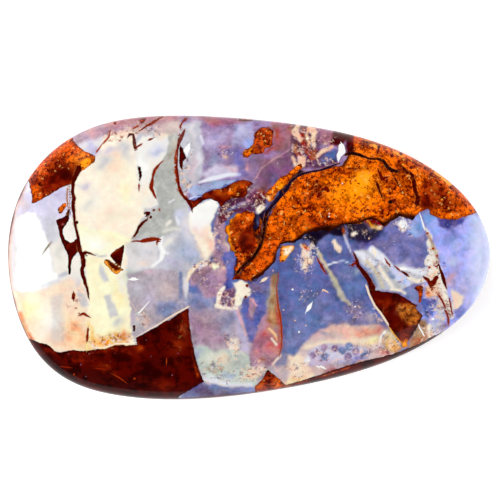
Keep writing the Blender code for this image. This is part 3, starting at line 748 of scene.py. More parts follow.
    FROST_FIELD = (
        Patch(T.SLATE_VIOLET, [(9.8, 3.4), (11.2, 0.8), (12.4, -2), (12.6, -3.2), (15, -3.4), (16.4, -2.7),
              (17.7, -2.4), (17.7, 1), (17.6, 5), (16, 4.4), (13.4, 3.4), (11.6, 3.8)]),
        Patch(T.NIGHT, [(9.7, 3.5), (11.4, 3.6), (12.2, 2.6), (13.8, 3.4), (13, 1.9), (11, 1.4),
              (10, 2)], 0.25, 0.9),
        Bloom(T.BLUE, (13.6, 2.4), (1.2, 0.8), 0.5), Bloom(T.INDIGO, (12, 1.4), (0.9, 0.4), 0.6),
        Bloom(T.BLUE, (15, 1.4), (1.4, 0.8), 0.4),
        Patch(T.SKY, [(16, 2.6), (16.6, 2), (17.4, 2.2), (17.5, 3.4), (17, 4.2), (16.4, 4.2),
              (16.1, 3.4)], 0.3, 0.9),
        Bloom(T.PALE_SKY, (16.8, 3), (0.35, 0.6), 0.5), Bloom(T.BLUE, (17, 0), (0.6, 1), 0.6),
        Bloom(T.LAVENDER, (15.7, -0.4), (0.7, 0.5), 0.9),
        Patch(T.PEARL_GREY, [(10.6, 0.4), (11, 0.7), (12.4, 1), (13.5, 0), (14.2, -0.8), (15.5, -0.8),
              (16.5, -1.2), (17.7, -1), (17.7, -2.5), (16.3, -2.7), (15, -3.4), (13.4, -3.3), (12.6, -3.2),
              (12.4, -2.3), (11.7, -1.3), (11, -0.6)], 0.15),
        Bloom(T.HAZE_BLUE, (12.7, -1.9), (0.7, 1)), Bloom(T.PALE_SKY, (15, -1.8), (0.9, 0.8), 0.8),
        Stroke(T.COOL_WHITE, [(10.7, 0.5), (11.3, 0.3), (11.9, -0.2), (12.6, -0.8)], (0.4, 0.8, 0.4), 0.15),
        Stroke(T.BEIGE, [(11.8, -0.4), (12.4, -1), (12.9, -1.8), (13.4, -2.9)], 0.3, 0.12),
        Stroke(T.SLATE, [(11.5, -1), (12, -1.4), (12.4, -2.3), (12.7, -2.9)], (0.2, 0.4, 0.25), 0.12),
        Stroke(T.COOL_WHITE, [(12.3, 0.8), (12.9, 0.3), (13.6, -0.3), (14.2, -0.8)], (0.7, 0.8, 0.4), 0.12),
        Stroke(T.CREAM, [(13, -0.9), (13.6, -1.9), (14.4, -3)], (0.3, 0.45, 0.25), 0.12),
        Stroke(T.SAGE_GREY, [(13.6, -1), (14.2, -2), (15, -3)], 0.35, 0.12),
        Stroke(T.SLATE, [(14, -1.6), (14.4, -2)], 0.4, 0.15, 0.8),
        Stroke(T.PALE_SKY, [(14.3, -1.1), (15.1, -1.8), (15.9, -2.6)], (0.4, 0.7, 0.5), 0.15),
        Bloom(T.SKY, (15.5, -2.4), (0.35, 0.25)),
        Stroke(T.COOL_WHITE, [(15.4, -1), (16.3, -1.3), (17.3, -1.5)], (0.3, 0.5, 0.6), 0.15),
        Stroke(T.CREAM, [(16, -2), (16.8, -2.4), (17.6, -2.2)], 0.35, 0.12),
        Patch(T.MILK, [(15.1, 3.8), (15.6, 3.8), (15.9, 3.4), (16.3, 3), (15.9, 3), (15.7, 2.6),
              (15.4, 2.5), (15, 2.9), (14.8, 3.2)], 0.08),
        Patch(T.RED_BROWN, [(11.4, 3.6), (12.1, 4), (12.8, 3.9), (13.4, 3.5), (13.4, 3), (12.6, 2.8),
              (12, 3.1)], 0.15),
        Patch(T.AMBER, [(11.8, 3.7), (12.4, 3.4), (13.2, 3), (13.3, 2.7), (12.8, 2.6), (12.3, 2.9)], 0.08),
        Bloom(T.CREAM, (12.8, 3), (0.4, 0.2), 0.9),
        Patch(T.CREAM, [(10.2, 2.3), (10.6, 2.7), (10.8, 2.4), (10.5, 2)], 0.1),
        Patch(T.SLATE, [(15.5, -3.4), (15.9, -2.9), (16.4, -3), (16.8, -3.5), (16.85, -4.1), (16.7, -4.5),
              (16.2, -4.2), (15.6, -3.8)], 0.08),
        Stroke(T.CREAM, [(14.2, -3.2), (15.2, -3.3), (15.6, -3.6)], 0.25, 0.1),
    )
    NARROW_END = (
        Patch(T.PERIWINKLE, [(17.7, 5), (19, 3.7), (21, 3.7), (24.6, 4.4), (24.8, -5), (20.4, -8.5),
              (18.2, -8.6), (17, -6.6), (17.4, -4), (17.7, -1.5), (17.9, 1)]),
        Patch(T.PALE_SKY, [(22, 4.4), (24.8, 4), (24.8, -4.6), (22.6, -6.2), (22, -3), (22.2, 0)], 0.9),
        Patch(T.SKY, [(17.4, 4.4), (18.2, 5), (18.8, 4), (19.2, 3), (18.8, 2.2), (17.9, 2.8)], 0.2, 0.85),
        Patch(T.INDIGO, [(18.8, 3.9), (21.4, 4), (21.2, 3.3), (20, 2.7), (19.2, 3.1)], 0.2, 0.85),
        Bloom(T.BLUE, (20.4, 2.4), (0.7, 0.6), 0.5),
        *blooms(T.PALE_SKY, ((20.2, -0.1), (1, 0.5), 0.9), ((21, 1.4), (0.7, 0.5), 0.5)),
        Bloom(T.PINK, (20.2, -2), (0.5, 0.7), 0.85), Bloom(T.LAVENDER, (21.4, -2.6), (0.8, 1)),
        Bloom(T.BLUE, (20.8, -5.8), (0.8, 0.8), 0.8), Bloom(T.LILAC, (21.7, -4), (0.6, 1)),
        Patch(T.WARM_WHITE, [(17.5, 3), (17.7, 2.2), (17.9, 1.5), (17.95, 0.9), (17.85, 0.3), (17.7, -0.2),
              (17.75, -0.8), (17.6, -1.8), (18.4, -2.6), (19.2, -4.2), (19.8, -5.8), (20.4, -6), (20.3, -5),
              (20, -4), (19.8, -3), (19.6, -2.2), (19.3, -1.2), (19, -0.4), (18.8, 0.4), (18.5, 1.2),
              (18.1, 2.2), (17.7, 3)], 0.06),
        Stroke(T.TAN, [(18, 2.2), (18.5, 1), (18.8, 0.2), (19, -0.6)], 0.22, 0.12, 0.8),
        Bloom(T.BEIGE, (18.4, 0.4), (0.25, 0.7), 0.8), Bloom(T.MILK, (18, -1.2), (0.3, 0.6), 0.8),
        Bloom(T.APRICOT, (18.8, -1.6), (0.2, 0.5), 0.8), Bloom(T.PEACH, (19, -2.6), (0.3, 0.6), 0.9),
        Patch(T.PEACH, [(17.6, -2.8), (18.8, -2.7), (19.4, -3.8), (17.8, -4.1)], 0.15),
        Bloom(T.ORANGE, (17.8, -3.3), (0.3, 0.3), 0.6),
        Patch(T.BLUE, [(17.1, -4.2), (18.9, -4.2), (18.7, -5.2), (18, -6.2), (17.5, -5.6)]),
        Bloom(T.SLATE, (18.2, -4.7), (0.5, 0.4), 0.6),
        Patch(T.PEARL_GREY, [(18.9, -4), (19.4, -4), (19.7, -6.4), (19, -6.6), (18.8, -5.2)], 0.15),
        Patch(T.CREAM, [(19.3, -3), (19.7, -3), (20.1, -4.6), (20, -5.5), (19.6, -5)], 0.12, 0.9),
        Patch(T.PEACH_CREAM, [(20.2, -3.1), (20.8, -3.6), (21.5, -4), (21.4, -4.7), (20.9, -5.1),
              (20.3, -5.2)]),
        Patch(T.TAN, [(16.6, -6.2), (17.6, -6.2), (18.2, -7.6), (17.6, -9), (16, -9.2)], 0.2),
        Bloom(T.BURNT, (16.6, -8.6), (0.4, 0.6)),
        Patch(T.PEARL_GREY, [(18.4, -6.4), (19.6, -6.6), (19.4, -8), (18.6, -8.6), (18, -7.4)], 0.2, 0.8),
        Patch(T.CREAM, [(17.8, -7), (18.2, -6.7), (18.5, -7.6), (18.4, -8.3), (18, -8)]),
        Bloom(T.PLUM, (19.9, -7.1), (0.5, 0.4), 0.6),
    )
    IN_ORDER = (GROUNDS, BROAD_END, CREAM_HEART, GREY_PANELS, TOP_CRUMBS, VIOLET_TOP, TOP_RIM_TINTS_AND_REFLECTION,
                SLATE_FIELD, PEACH_GLOW, SLATE_WEDGE, BLUE_TONGUE, FROST_FIELD, NARROW_END,
                TOOTH_AND_KNOT, BRUISE)

    # Where the opal is crumbled into pale and dark bits; only the strength counts here, not the tint
    CRUMBLED = (
        *blooms(T.CREAM, ((-12.8, 12.4), (1.3, 0.7), 0.6), ((-10.4, 12.9), (1.6, 0.5), 0.5),
                ((-17.2, -4), (0.8, 0.8), 0.3), ((-17.8, -7.6), (1.4, 1.2), 0.12),
                ((-13.8, -8.4), (2, 0.7)), ((-6.3, 8.4), (0.5, 2.4), 0.6), ((-2.4, 10.4), (1, 0.5), 0.4),
                ((-10.9, -6), (0.7, 0.9), 0.4)),
        Patch(T.CREAM, [(4, 13.6), (4.2, 11), (4.2, 8.6), (5.8, 9), (7, 9.4), (7, 10.8),
              (7, 13.4)], 0.3, 0.22),
        *blooms(T.CREAM, ((7.8, 11.4), (0.8, 0.7), 0.5), ((7.4, 9.3), (1.1, 0.3))),
        Patch(T.CREAM, [(-3.4, 4.4), (-2.6, 5.6), (0.6, 7.4), (1.8, 6.6), (1.6, 4.6), (-0.4, 4.4),
              (-1.6, 4.4), (-2.4, 3.2)], 0.3, 0.2),
        *blooms(T.CREAM, ((-4.2, -0.8), (1.4, 0.5)), ((-4.2, -2.4), (1.3, 1), 0.2),
                ((-2.3, -4), (1, 1), 0.9), ((-3, 2), (0.5, 1.8), 0.35), ((-1.6, -8.8), (0.7, 0.8), 0.8),
                ((-3, -11.4), (1.8, 1.1), 0.4), ((0.2, -11.6), (1, 0.9), 0.8),
                ((0.6, -3.6), (1.2, 1), 0.15), ((5.8, 0.2), (0.7, 1.6), 0.8),
                ((10.8, 2.6), (1.8, 0.6), 0.16), ((12.8, 3.2), (1, 0.5), 0.25),
                ((7.6, -9.9), (2.4, 0.9), 0.25, 5), ((11.4, -9.4), (1.6, 0.8), 0.5),
                ((4.9, -11.2), (1.3, 1.2), 0.3), ((5.4, -3.8), (1.2, 1), 0.15),
                ((12.6, -1), (1.5, 1.4), 0.2), ((15.8, -2), (1.4, 0.7), 0.3),
                ((15.5, 3.2), (0.8, 0.8), 0.6), ((18.4, -1.8), (0.8, 2), 0.8), ((19, -4.8), (1, 1.8)),
                ((14.2, -8.8), (0.8, 1.2)), ((18, -7.8), (1.4, 1)), ((10.6, -5.4), (1.3, 0.9), 0.25),
                ((12.9, -5.6), (0.8, 1.2), 0.3)),
    )


class Ironstone:
    """The ironstone that the opal is set in: its pieces, their tints, and the host rock round the side."""

    HOST_HEIGHT = 1.6  # millimetres
    HOST_WAVES = ((-0.8, 1, 0), (0.22, 5, 1), (0.12, 13, 0))  # millimetres, waves round the stone, start
    OVER_THE_BACK = 3.0  # millimetres; high enough to cover the whole back

    PIECES = (
        # The corner at the top of the broad end
        Patch(T.RUST, [(-17.8, 12.4), (-17.5, 11.6), (-16.9, 11), (-16.4, 10.6), (-15.9, 10.45),
              (-15.35, 10.1), (-15.4, 9.6), (-15.9, 9.2), (-16.3, 8.9), (-16.9, 8.5), (-17.4, 7.5),
              (-17.9, 7.3), (-18.5, 7.1), (-19.2, 6.7), (-20, 6.2), (-21, 5.7), (-21.5, 5.4), (-21.75, 5.4),
              (-21.7, 6.2), (-21.9, 6.9), (-21.95, 7.5), (-22.6, 8.2), (-20.6, 10.6)]),
        # The maroon foot at the bottom
        Patch(T.DARK_MAROON, [(-22.2, -8), (-21.8, -8.2), (-20.9, -8.5), (-20.2, -8.7), (-19.8, -8.9),
              (-19.5, -9.25), (-19.2, -9.45), (-18.5, -9.45), (-17.9, -9.25), (-17.3, -9.25),
              (-16.6, -9.35), (-15.8, -9.25), (-15.2, -9.15), (-14.5, -9.15), (-13.9, -8.95),
              (-13.3, -8.75), (-12.8, -8.75), (-11.9, -8.8), (-11.2, -8.7), (-11.35, -8.05), (-10, -7.35),
              (-9, -6.8), (-8.4, -6.35), (-8, -6.3), (-7.3, -5.75), (-6.5, -5.3), (-6.05, -5.1), (-6, -6),
              (-5.9, -7), (-5.75, -8), (-5.55, -9), (-5.35, -10), (-5.05, -11), (-4.8, -11.7),
              (-4.5, -12.4), (-5.8, -13.2), (-7, -13.9), (-7.4, -15), (-19, -14), (-23.4, -9)]),
        # The wedge and the line along the lower rim
        Patch(T.BURNT, [(1.9, -11.2), (2.3, -11.6), (3, -12.1), (3.7, -12.8), (3.8, -13.6), (0.6, -14),
              (0.6, -12.9), (1.3, -12.2), (1.6, -11.6)]),
        Patch(T.DARK_MAROON, [(2.6, -12.9), (4, -12.65), (5.6, -12.2), (7, -11.75), (8.4, -11.25),
              (10, -10.75), (11.4, -10.35), (12.6, -10.1), (14, -9.75), (15.2, -9.35), (17, -8.65),
              (18.3, -7.95), (19.6, -7.3), (19.4, -9.5), (12, -13), (3, -14.5)]),
        # The clump at the top and the rust on the rim beside it
        Patch(T.RUST, [(0.5, 12.4), (0.8, 12.7), (1.2, 13), (2, 13.05), (2.4, 12.7), (2.45, 12.2),
              (2.3, 11.7), (2.4, 11.3), (2.1, 11), (1.6, 10.9), (1.5, 10.5), (0.9, 10.3), (0.3, 10.35),
              (-0.1, 10), (-0.6, 10), (-0.7, 10.4), (-0.4, 10.8), (0.1, 11), (0.4, 11.4), (0.55, 11.9)]),
        Patch(T.BURNT, [(-1, 13.7), (-0.4, 13.6), (0.4, 13.65), (0.5, 14.6), (-1, 14.6)]),
        # The arm that joins the band to the broad end
        Patch(T.RED_BROWN, [(-6, 5.8), (-5.5, 5.7), (-5, 6), (-4.4, 6.5), (-3.5, 6.8), (-2.6, 6.95),
              (-2, 7.25), (-1.4, 7.6), (-0.6, 7.8), (0.2, 7.6), (0.5, 7.4), (0.1, 7.1), (-0.2, 6.8),
              (-0.1, 6.5), (-0.5, 6), (-1.6, 5.9), (-2.3, 5.6), (-2.8, 5), (-3.2, 5.6), (-3.9, 5.9),
              (-4.6, 5.7), (-5.1, 5.3), (-5.5, 5), (-5.7, 4.6), (-5.9, 5.1)]),
        # The knot under it
        Patch(T.RUST, [(-0.7, 4.5), (-0.3, 4.75), (0.1, 4.6), (0.5, 4.5), (0.6, 4.1), (0.45, 3.7),
              (0.55, 3.3), (0.4, 2.9), (0.6, 2.4), (0.75, 1.9), (1, 1.6), (0.95, 1.1), (0.6, 0.7),
              (0.5, 0.3), (0, 0.1), (-0.3, -0.35), (-0.8, -0.8), (-0.7, -1.3), (-0.9, -1.6), (-0.2, -1.9),
              (-0.1, -2.4), (-0.9, -2.2), (-1.7, -2.2), (-1.3, -1.6), (-1.55, -1.1), (-1.2, -0.6),
              (-1.1, -0.2), (-1.4, 0.1), (-1.5, 0.5), (-1.9, 0.7), (-1.85, 1.2), (-2.15, 1.6), (-2.1, 2.2),
              (-2.45, 2.6), (-2.35, 3.1), (-2, 3.3), (-1.95, 3.8), (-1.5, 4), (-1.3, 4.4)]),
        Patch(T.ORANGE, [(1.1, 4.1), (1.35, 3.6), (1.25, 2.8), (1, 2.2), (0.6, 2.5), (0.95, 3), (1, 3.6)]),
        Patch(T.ORANGE, [(0.7, 1.9), (1.1, 1.8), (1.1, 1.2), (0.8, 1)]),
        # The main band and its lobe towards the narrow end
        Patch(T.ORANGE, [(1.7, 3), (1.6, 2.2), (1.45, 1.5), (1.15, 0.8), (0.75, 0.15), (0.1, -0.65),
              (-0.6, -1.3), (-0.95, -1.75), (-0.7, -1.95), (-0.2, -2.15), (0.2, -2.4), (0.7, -2.1),
              (1.3, -1.8), (1.8, -1.2), (2.4, -0.7), (2.7, -0.3), (2.7, 0.3), (2.9, 0.8), (3.2, 1.3),
              (3.7, 1.45), (4.6, 1.5), (5.1, 1.8), (5.5, 2.2), (6, 2.45), (7.2, 2.7), (8, 2.6), (8.6, 2.9),
              (9.6, 3.3), (10.4, 3.3), (11.2, 3.4), (11.6, 3.7), (12.1, 3.8), (12.7, 3.7), (13.1, 3.5),
              (13.4, 3.1), (13.8, 3.2), (14.2, 3.6), (15, 4.1), (15.5, 4), (16.4, 3.7), (16.6, 4.1),
              (17, 4.5), (17.5, 4.7), (18, 4.9), (18.1, 4.3), (18.6, 4.1), (19.2, 3.85), (20.6, 3.75),
              (21.3, 4), (22, 4.2), (23.4, 4.7), (22, 7), (16, 11.4), (10.3, 13), (10, 12), (10.2, 10.9),
              (9.9, 10.2), (9.3, 9.2), (8.2, 9.1), (7.2, 8.7), (6.3, 8.6), (5.4, 8.4), (4.8, 8.1),
              (4.2, 7.6), (3.8, 6.9), (3.2, 6.2), (2.5, 5), (2, 4)]),
        Patch(T.ORANGE, [(1.6, 6.1), (2, 5.5), (2.5, 5.8), (2.9, 6.6), (3.6, 7.1), (4.2, 7.8), (4.6, 8.3),
              (5.4, 9), (5.2, 9.5), (4.4, 8.9), (3.8, 8.3), (3.1, 8), (2.4, 7.2), (1.8, 6.6)]),
        # The nugget below the band
        Patch(T.AMBER, [(3.1, 1.1), (3.6, 1.2), (4.5, 1.3), (4.6, 1), (4.3, 0.6), (4, 0.2), (3.6, -0.4),
              (3.1, -0.5), (2.95, -0.2), (3.1, 0.5)]),
        # Small pieces in the cream
        Patch(T.ORANGE, [(-18.3, 5.5), (-18.2, 5.1), (-18.5, 4.8), (-18.7, 4.4), (-19, 4.4), (-19.15, 4.8),
              (-18.9, 5.1), (-18.6, 5.4)]),
        Patch(T.DARK_MAROON, [(-19.35, 3.8), (-18.8, 3.9), (-18.3, 4.15), (-18.1, 4.9), (-17.95, 4.9),
              (-17.95, 4.2), (-18.05, 3.7), (-18.35, 3.2), (-18.65, 2.8), (-18.6, 2.3), (-18.4, 1.8),
              (-17.8, 1.5), (-17.5, 1.65), (-17.3, 1.9), (-17, 1.4), (-16.8, 0.6), (-17.1, 0.6),
              (-17.4, 0.2), (-17.7, -0.2), (-17.8, -0.8), (-17.85, -1.7), (-18.05, -1.7), (-18.1, -0.8),
              (-18.1, 0.2), (-18.4, 0.8), (-18.7, 1.5), (-18.95, 2.3), (-19.1, 3.1)], 0.05),
        Patch(T.DARK_MAROON, [(-12.45, 1.3), (-12.55, 0.4), (-12.7, -0.4), (-12.85, -0.9), (-13.3, -0.6),
              (-13.7, -0.1), (-14, 0.2), (-13.6, 0.55), (-13, 1)]),
        Patch(T.DARK_MAROON, [(-14.4, -0.1), (-14, -0.2), (-13.4, -0.7), (-12.9, -1), (-12.55, -1.15),
              (-12.5, -1.35), (-12.8, -1.35), (-13.2, -1.7), (-13.7, -1.4), (-14.2, -0.9), (-14.5, -0.5)]),
        Patch(T.DARK_MAROON, [(-11.15, 9.2), (-10.8, 9.05), (-10.7, 8.2), (-10.85, 7.7), (-10.95, 7.55),
              (-11.05, 8.5)], 0.05),
        Patch(T.DARK_MAROON, [(-10.5, 4.65), (-9.8, 4.55), (-9.95, 4.2), (-10.3, 4.1),
              (-10.35, 4.4)], 0.05),
        Patch(T.DARK_MAROON, [(-6.95, 11.4), (-6.6, 10.9), (-6.45, 10.3), (-6.2, 10), (-6.5, 9.7),
              (-6.65, 9.2), (-6.6, 8.7), (-6.9, 9), (-7, 9.9)], 0.05),
        Patch(T.BURNT, [(-11.1, 13.75), (-10.6, 13.9), (-10.2, 14), (-10.4, 13.6), (-10.8, 13.3),
              (-10.9, 13.6)], 0.05),
        Patch(T.DARK_MAROON, [(-11.65, -6.8), (-11.3, -6.75), (-11.4, -7.3), (-11.55, -7.5)], 0.05),
        # The shard and the small piece above it
        Patch(T.DARK_MAROON, [(12.3, -2.3), (12.5, -2.8), (12.55, -3.25), (13.3, -3.4), (14.3, -3.5),
              (14.9, -3.6), (15.4, -3.9), (16, -4.3), (16.6, -4.7), (16.85, -4.75), (16.6, -5), (17, -5.4),
              (17.4, -5.8), (17.1, -6.4), (16.7, -7.2), (16.2, -8), (15.85, -8.5), (15.5, -8.6),
              (15.1, -8.5), (14.8, -8.2), (14.4, -7.5), (14, -7), (13.7, -6.3), (13.2, -5.5), (12.6, -4.7),
              (12.2, -3.8), (11.9, -2.8)]),
        Patch(T.AMBER, [(15.1, -8.4), (15.85, -8.4), (15.9, -8.9), (15.4, -9.1)]),
        Patch(T.RUST, [(16.1, -2.6), (16.5, -3), (16.85, -2.8), (17.1, -2.7), (17.4, -2.95), (17.4, -3.4),
              (17.3, -4.1), (17.2, -4.5), (16.95, -4.5), (17, -4), (16.9, -3.4), (16.5, -3.1)]),
    )
    TINTS = (
        Patch(T.MAROON, [(-21.6, 7.6), (-20, 8.4), (-18.4, 9.6), (-17.4, 8.4), (-17.2, 7), (-19.4, 6.4),
              (-20.6, 6.4)], 0.7, 0.9),
        Bloom(T.DARK_MAROON, (-18.2, 8), (0.9, 0.4), 0.6, 30),
        Bloom(T.RED_BROWN, (-18.6, 9.4), (0.7, 0.5), 0.6),
        Bloom(T.YELLOW_ORANGE, (-16.4, 9.8), (1.1, 0.6), 0.95, 15),
        Bloom(T.HONEY, (-16, 9.4), (0.5, 0.3), 0.6), Bloom(T.ORANGE, (-21.3, 6.4), (0.5, 0.8)),
        Bloom(T.RUST, (-20.4, 9.4), (2, 0.5), 0.8, 42),
        *blooms(T.RED_BROWN, ((-14.3, -9.4), (2.4, 0.3)), ((-11, -8.6), (0.8, 0.4)),
                ((-6.6, -6.4), (0.7, 0.9))),
        Bloom(T.BURNT, (-7.1, -8.4), (0.7, 1.6), 0.45),
        *blooms(T.BLACK_BROWN, ((-20.5, -10.6), (2, 0.9), 0.8, -35), ((-12.4, -12.6), (5, 0.8), 0.6, -6),
                ((-9, -10.8), (1.4, 0.7), 0.25), ((-16.4, -11.2), (1.4, 0.5), 0.35, -20)),
        *blooms(T.RED_BROWN, ((-16.5, -10), (1.6, 0.3), 0.6), ((-20, -9.3), (1, 0.3), 0.7, -20)),
        *blooms(T.BURNT, ((-14, -11.3), (1, 0.35), 0.4, -15), ((-10.8, -8.9), (0.4, 0.3), 0.6)),
        Bloom(T.RED_BROWN, (-8.6, -12.6), (1.4, 0.4), 0.5), Bloom(T.TAN, (-6.8, -7.4), (0.25, 0.5), 0.3),
        Stroke(T.RUST, [(-5.75, -9.4), (-5.5, -10.6), (-5.1, -11.9)], (0.05, 0.1, 0.25), 0.15, 0.7),
        Stroke(T.TAN, [(-6, -5.4), (-5.9, -7), (-5.65, -8.6), (-5.3, -10.2),
               (-4.8, -11.8)], 0.1, 0.06, 0.8),
        Bloom(T.ORANGE, (3, -12.4), (0.5, 0.4), 0.8), Bloom(T.MAROON, (1.6, -12), (0.3, 0.6), 0.5),
        Stroke(T.BURNT, [(3.6, -12.9), (7, -12), (10, -11)], 0.15, 0.1, 0.8),
        *blooms(T.YELLOW_ORANGE, ((0.4, 11), (0.35, 0.3), 0.9), ((-0.3, 10.4), (0.3, 0.3), 0.8)),
        Bloom(T.BURNT, (1.5, 12), (0.9, 1), 0.55), Bloom(T.RED_BROWN, (1.3, 12.4), (0.3, 0.4), 0.6),
        Bloom(T.ORANGE, (-1.4, 6.8), (0.9, 0.45), 0.95, 15),
        *blooms(T.RUST, ((-0.4, 7.2), (0.5, 0.3), 0.8), ((-3.4, 6.5), (0.7, 0.15), 0.5, 10)),
        *blooms(T.DARK_MAROON, ((-5, 5.6), (0.7, 0.4), 0.9), ((-3, 6), (1.2, 0.4), 0.95, 15),
                ((-2.6, 5.3), (0.4, 0.5), 0.8)),
        Bloom(T.BURNT, (0, 7.4), (0.4, 0.3)), Bloom(T.MAROON, (-1.9, 6.3), (0.9, 0.3), 0.6),
        Stroke(T.YELLOW_ORANGE, [(-1, 4.4), (-1.6, 4), (-2.1, 3.1), (-2.1, 2.2), (-1.75, 1.1), (-1.4, 0.3)],
               (0.25, 0.5, 0.35, 0.2), 0.15),
        Bloom(T.YELLOW_ORANGE, (-0.4, 0.2), (0.35, 0.35), 0.6),
        *blooms(T.BURNT, ((-1.2, 3), (0.9, 0.7), 0.45), ((-1, 0.9), (0.5, 0.7), 0.5)),
        Bloom(T.ORANGE, (-0.6, 3.7), (0.7, 0.5), 0.9),
        Patch(T.MAROON, [(-1, 2.6), (0, 3), (0.5, 2.2), (0.8, 1.4), (0.2, 0.6), (-0.9, 0.8),
              (-1.4, 1.6)], 0.3, 0.85),
        Bloom(T.DARK_MAROON, (-0.9, -1.4), (0.3, 0.5), 0.8),
        Bloom(T.BLACK_BROWN, (-0.3, 1.7), (0.5, 0.4), 0.7, 30),
        *blooms(T.DARK_MAROON, ((0.3, 3.2), (0.2, 0.5), 0.8), ((-1.2, 2.4), (0.3, 0.4), 0.6)),
        Bloom(T.RUST, (-1.4, 3.3), (0.3, 0.3)), Bloom(T.RED_BROWN, (0.5, 1.2), (0.3, 0.4), 0.6),
        Bloom(T.AMBER, (-1.9, 1), (0.15, 0.4), 0.8),
        *blooms(T.YELLOW_ORANGE, ((11, 7), (1.6, 2), 0.95), ((8.6, 6.4), (1.2, 1.2), 0.5),
                ((4.4, 3.4), (1, 1), 0.35)),
        Bloom(T.HONEY, (11.4, 7.8), (0.6, 0.9), 0.5),
        Patch(T.RUST, [(3.2, 1.2), (1.8, 2), (-1, -1.8), (0.2, -2.5), (2.8, -0.4)], 0.4, 0.8),
        *blooms(T.RUST, ((2.9, 2.8), (1.3, 2.2), 0.5), ((6.4, 3.6), (2.2, 0.5), 0.6)),
        *blooms(T.MAROON, ((7.2, 3.2), (1.6, 0.2), 0.5), ((8.4, 8.8), (1.4, 0.25), 0.5)),
        Patch(T.RED_BROWN, [(17, 5.2), (20.2, 4.9), (20.7, 5.6), (19.3, 7.3), (18, 8.1),
              (17.2, 7.2)], 0.5, 0.85),
        Bloom(T.RUST, (19.4, 5.9), (0.5, 0.3), 0.6), Bloom(T.MAROON, (17.4, 5.5), (0.7, 0.5), 0.8),
        Bloom(T.RUST, (20.6, 4.7), (1.4, 0.5), 0.9), Bloom(T.MAROON, (19.6, 4.3), (1, 0.2), 0.6),
        Stroke(T.RUST, [(10.6, 11.9), (13.2, 10.9), (16.4, 9.5), (19.2, 7.8), (21.4, 5.6)], 0.7, 0.3, 0.6),
        Bloom(T.RUST, (5.4, 5.4), (1.1, 0.8), 0.5), Bloom(T.MAROON, (7, 6.5), (1.3, 0.3), 0.6, 25),
        Bloom(T.BURNT, (5.6, 5.6), (1.2, 0.35), 0.5, 20), Bloom(T.MAROON, (7.4, 3.7), (1.5, 0.35), 0.55),
        Bloom(T.BURNT, (3.6, 4.6), (0.9, 0.5), 0.4, 40), Bloom(T.MAROON, (14.4, 4.9), (1.1, 0.3), 0.6),
        Bloom(T.BURNT, (16, 6.6), (0.6, 1.2), 0.45), Bloom(T.MAROON, (15.6, 9), (0.9, 0.35), 0.5, -35),
        *blooms(T.BURNT, ((4.4, 3), (1.2, 0.7), 0.35, -30), ((5.2, 7.4), (1.4, 0.4), 0.4, 10),
                ((6.9, 4.2), (1.2, 0.5), 0.6, -10), ((7.4, 6.2), (0.5, 0.9), 0.6, -20)),
        Bloom(T.RUST, (2.4, 1.2), (0.9, 0.7), 0.5, 40), Bloom(T.BURNT, (14.3, 7.8), (0.5, 1), 0.6),
        Bloom(T.RUST, (14.8, 5.1), (1.4, 0.4), 0.6),
        *blooms(T.BURNT, ((14.2, 5.9), (0.3, 0.4)), ((9, 8.9), (0.9, 0.3))),
        Bloom(T.RUST, (6.4, 8), (1.2, 0.3), 0.5),
        *strokes(T.HONEY, ([(11.6, 11.7), (12.9, 11)], 0.35, 0.2), ([(14.5, 10.5), (15.4, 10.1)], 0.3, 0.2,
                 0.8), ([(18.6, 8.5), (19.4, 7.9), (20.1, 7.3)], 0.3, 0.2, 0.9)),
        Stroke(T.MAROON, [(10.1, 12.6), (10.2, 11.6), (10.3, 10.6)], 0.6, 0.15),
        Bloom(T.MAROON, (11.6, 12), (1.2, 0.3), 0.5, -20),
        *strokes(T.BLACK_BROWN, ([(0.4, -2.2), (1.3, -1.6), (2.4, -0.6), (2.8, 0.4), (3.2, 1.4),
                 (4.8, 1.65)], (0.5, 0.35, 0.3, 0.45), 0.12, 0.9), ([(4.8, 1.65), (6, 2.5), (7.4, 2.75),
                 (8.6, 3), (10.4, 3.4), (12.2, 3.9), (13.4, 3.3), (15, 4.2), (16.3, 3.9)], (0.6, 0.75, 0.4,
                 0.45, 0.8), 0.18, 0.9), ([(9.5, 9.2), (10, 10.2), (10.3, 11)], 0.3, 0.1, 0.8)),
        Bloom(T.CREAM, (2, 6), (0.35, 0.35), 0.95), Bloom(T.YELLOW_ORANGE, (2.9, 7.3), (0.6, 0.5), 0.8),
        Bloom(T.MAROON, (4.1, 7.8), (0.3, 0.3), 0.8),
        Patch(T.CREAM, [(3.5, 0.8), (4.3, 1.2), (4.5, 0.9), (4, 0.4), (3.6, 0.2)]),
        Stroke(T.RUST, [(3.05, 0.6), (3.1, 0), (3.3, -0.4)], 0.25, 0.12, 0.8),
        Bloom(T.CREAM, (4.4, 1.1), (0.25, 0.2), 0.9),
        Stroke(T.YELLOW_ORANGE, [(-14.2, -0.05), (-13.6, -0.5), (-12.9, -0.95)], 0.14, 0.06),
        Stroke(T.HONEY, [(-14.4, -0.4), (-13.95, -1.1), (-13.3, -1.6), (-12.8, -1.3)], 0.3, 0.1),
        Stroke(T.BURNT, [(-14, 0.3), (-13.2, 0.8), (-12.6, 1.2)], 0.2, 0.1),
        Bloom(T.PINK, (-18.6, 3.6), (0.2, 0.15), 0.5), Bloom(T.BURNT, (-18, 1.2), (0.3, 0.3), 0.6),
        Patch(T.AMBER, [(14.7, -4.5), (15.6, -4.7), (16.7, -4.9), (17.3, -5.7), (16.9, -6.4), (16.1, -6.8),
              (15.3, -6.3), (14.9, -5.5)], 0.25, 0.6),
        Bloom(T.TAN, (15.4, -5.4), (0.4, 0.5), 0.5, -30),
        *blooms(T.BURNT, ((15.4, -7.4), (0.7, 0.7), 0.8), ((13.9, -5.4), (0.35, 0.9), 0.5, -30),
                ((13.4, -4.2), (0.5, 0.3), 0.4)),
        Bloom(T.RED_BROWN, (14.4, -4.4), (1, 0.4), 0.5),
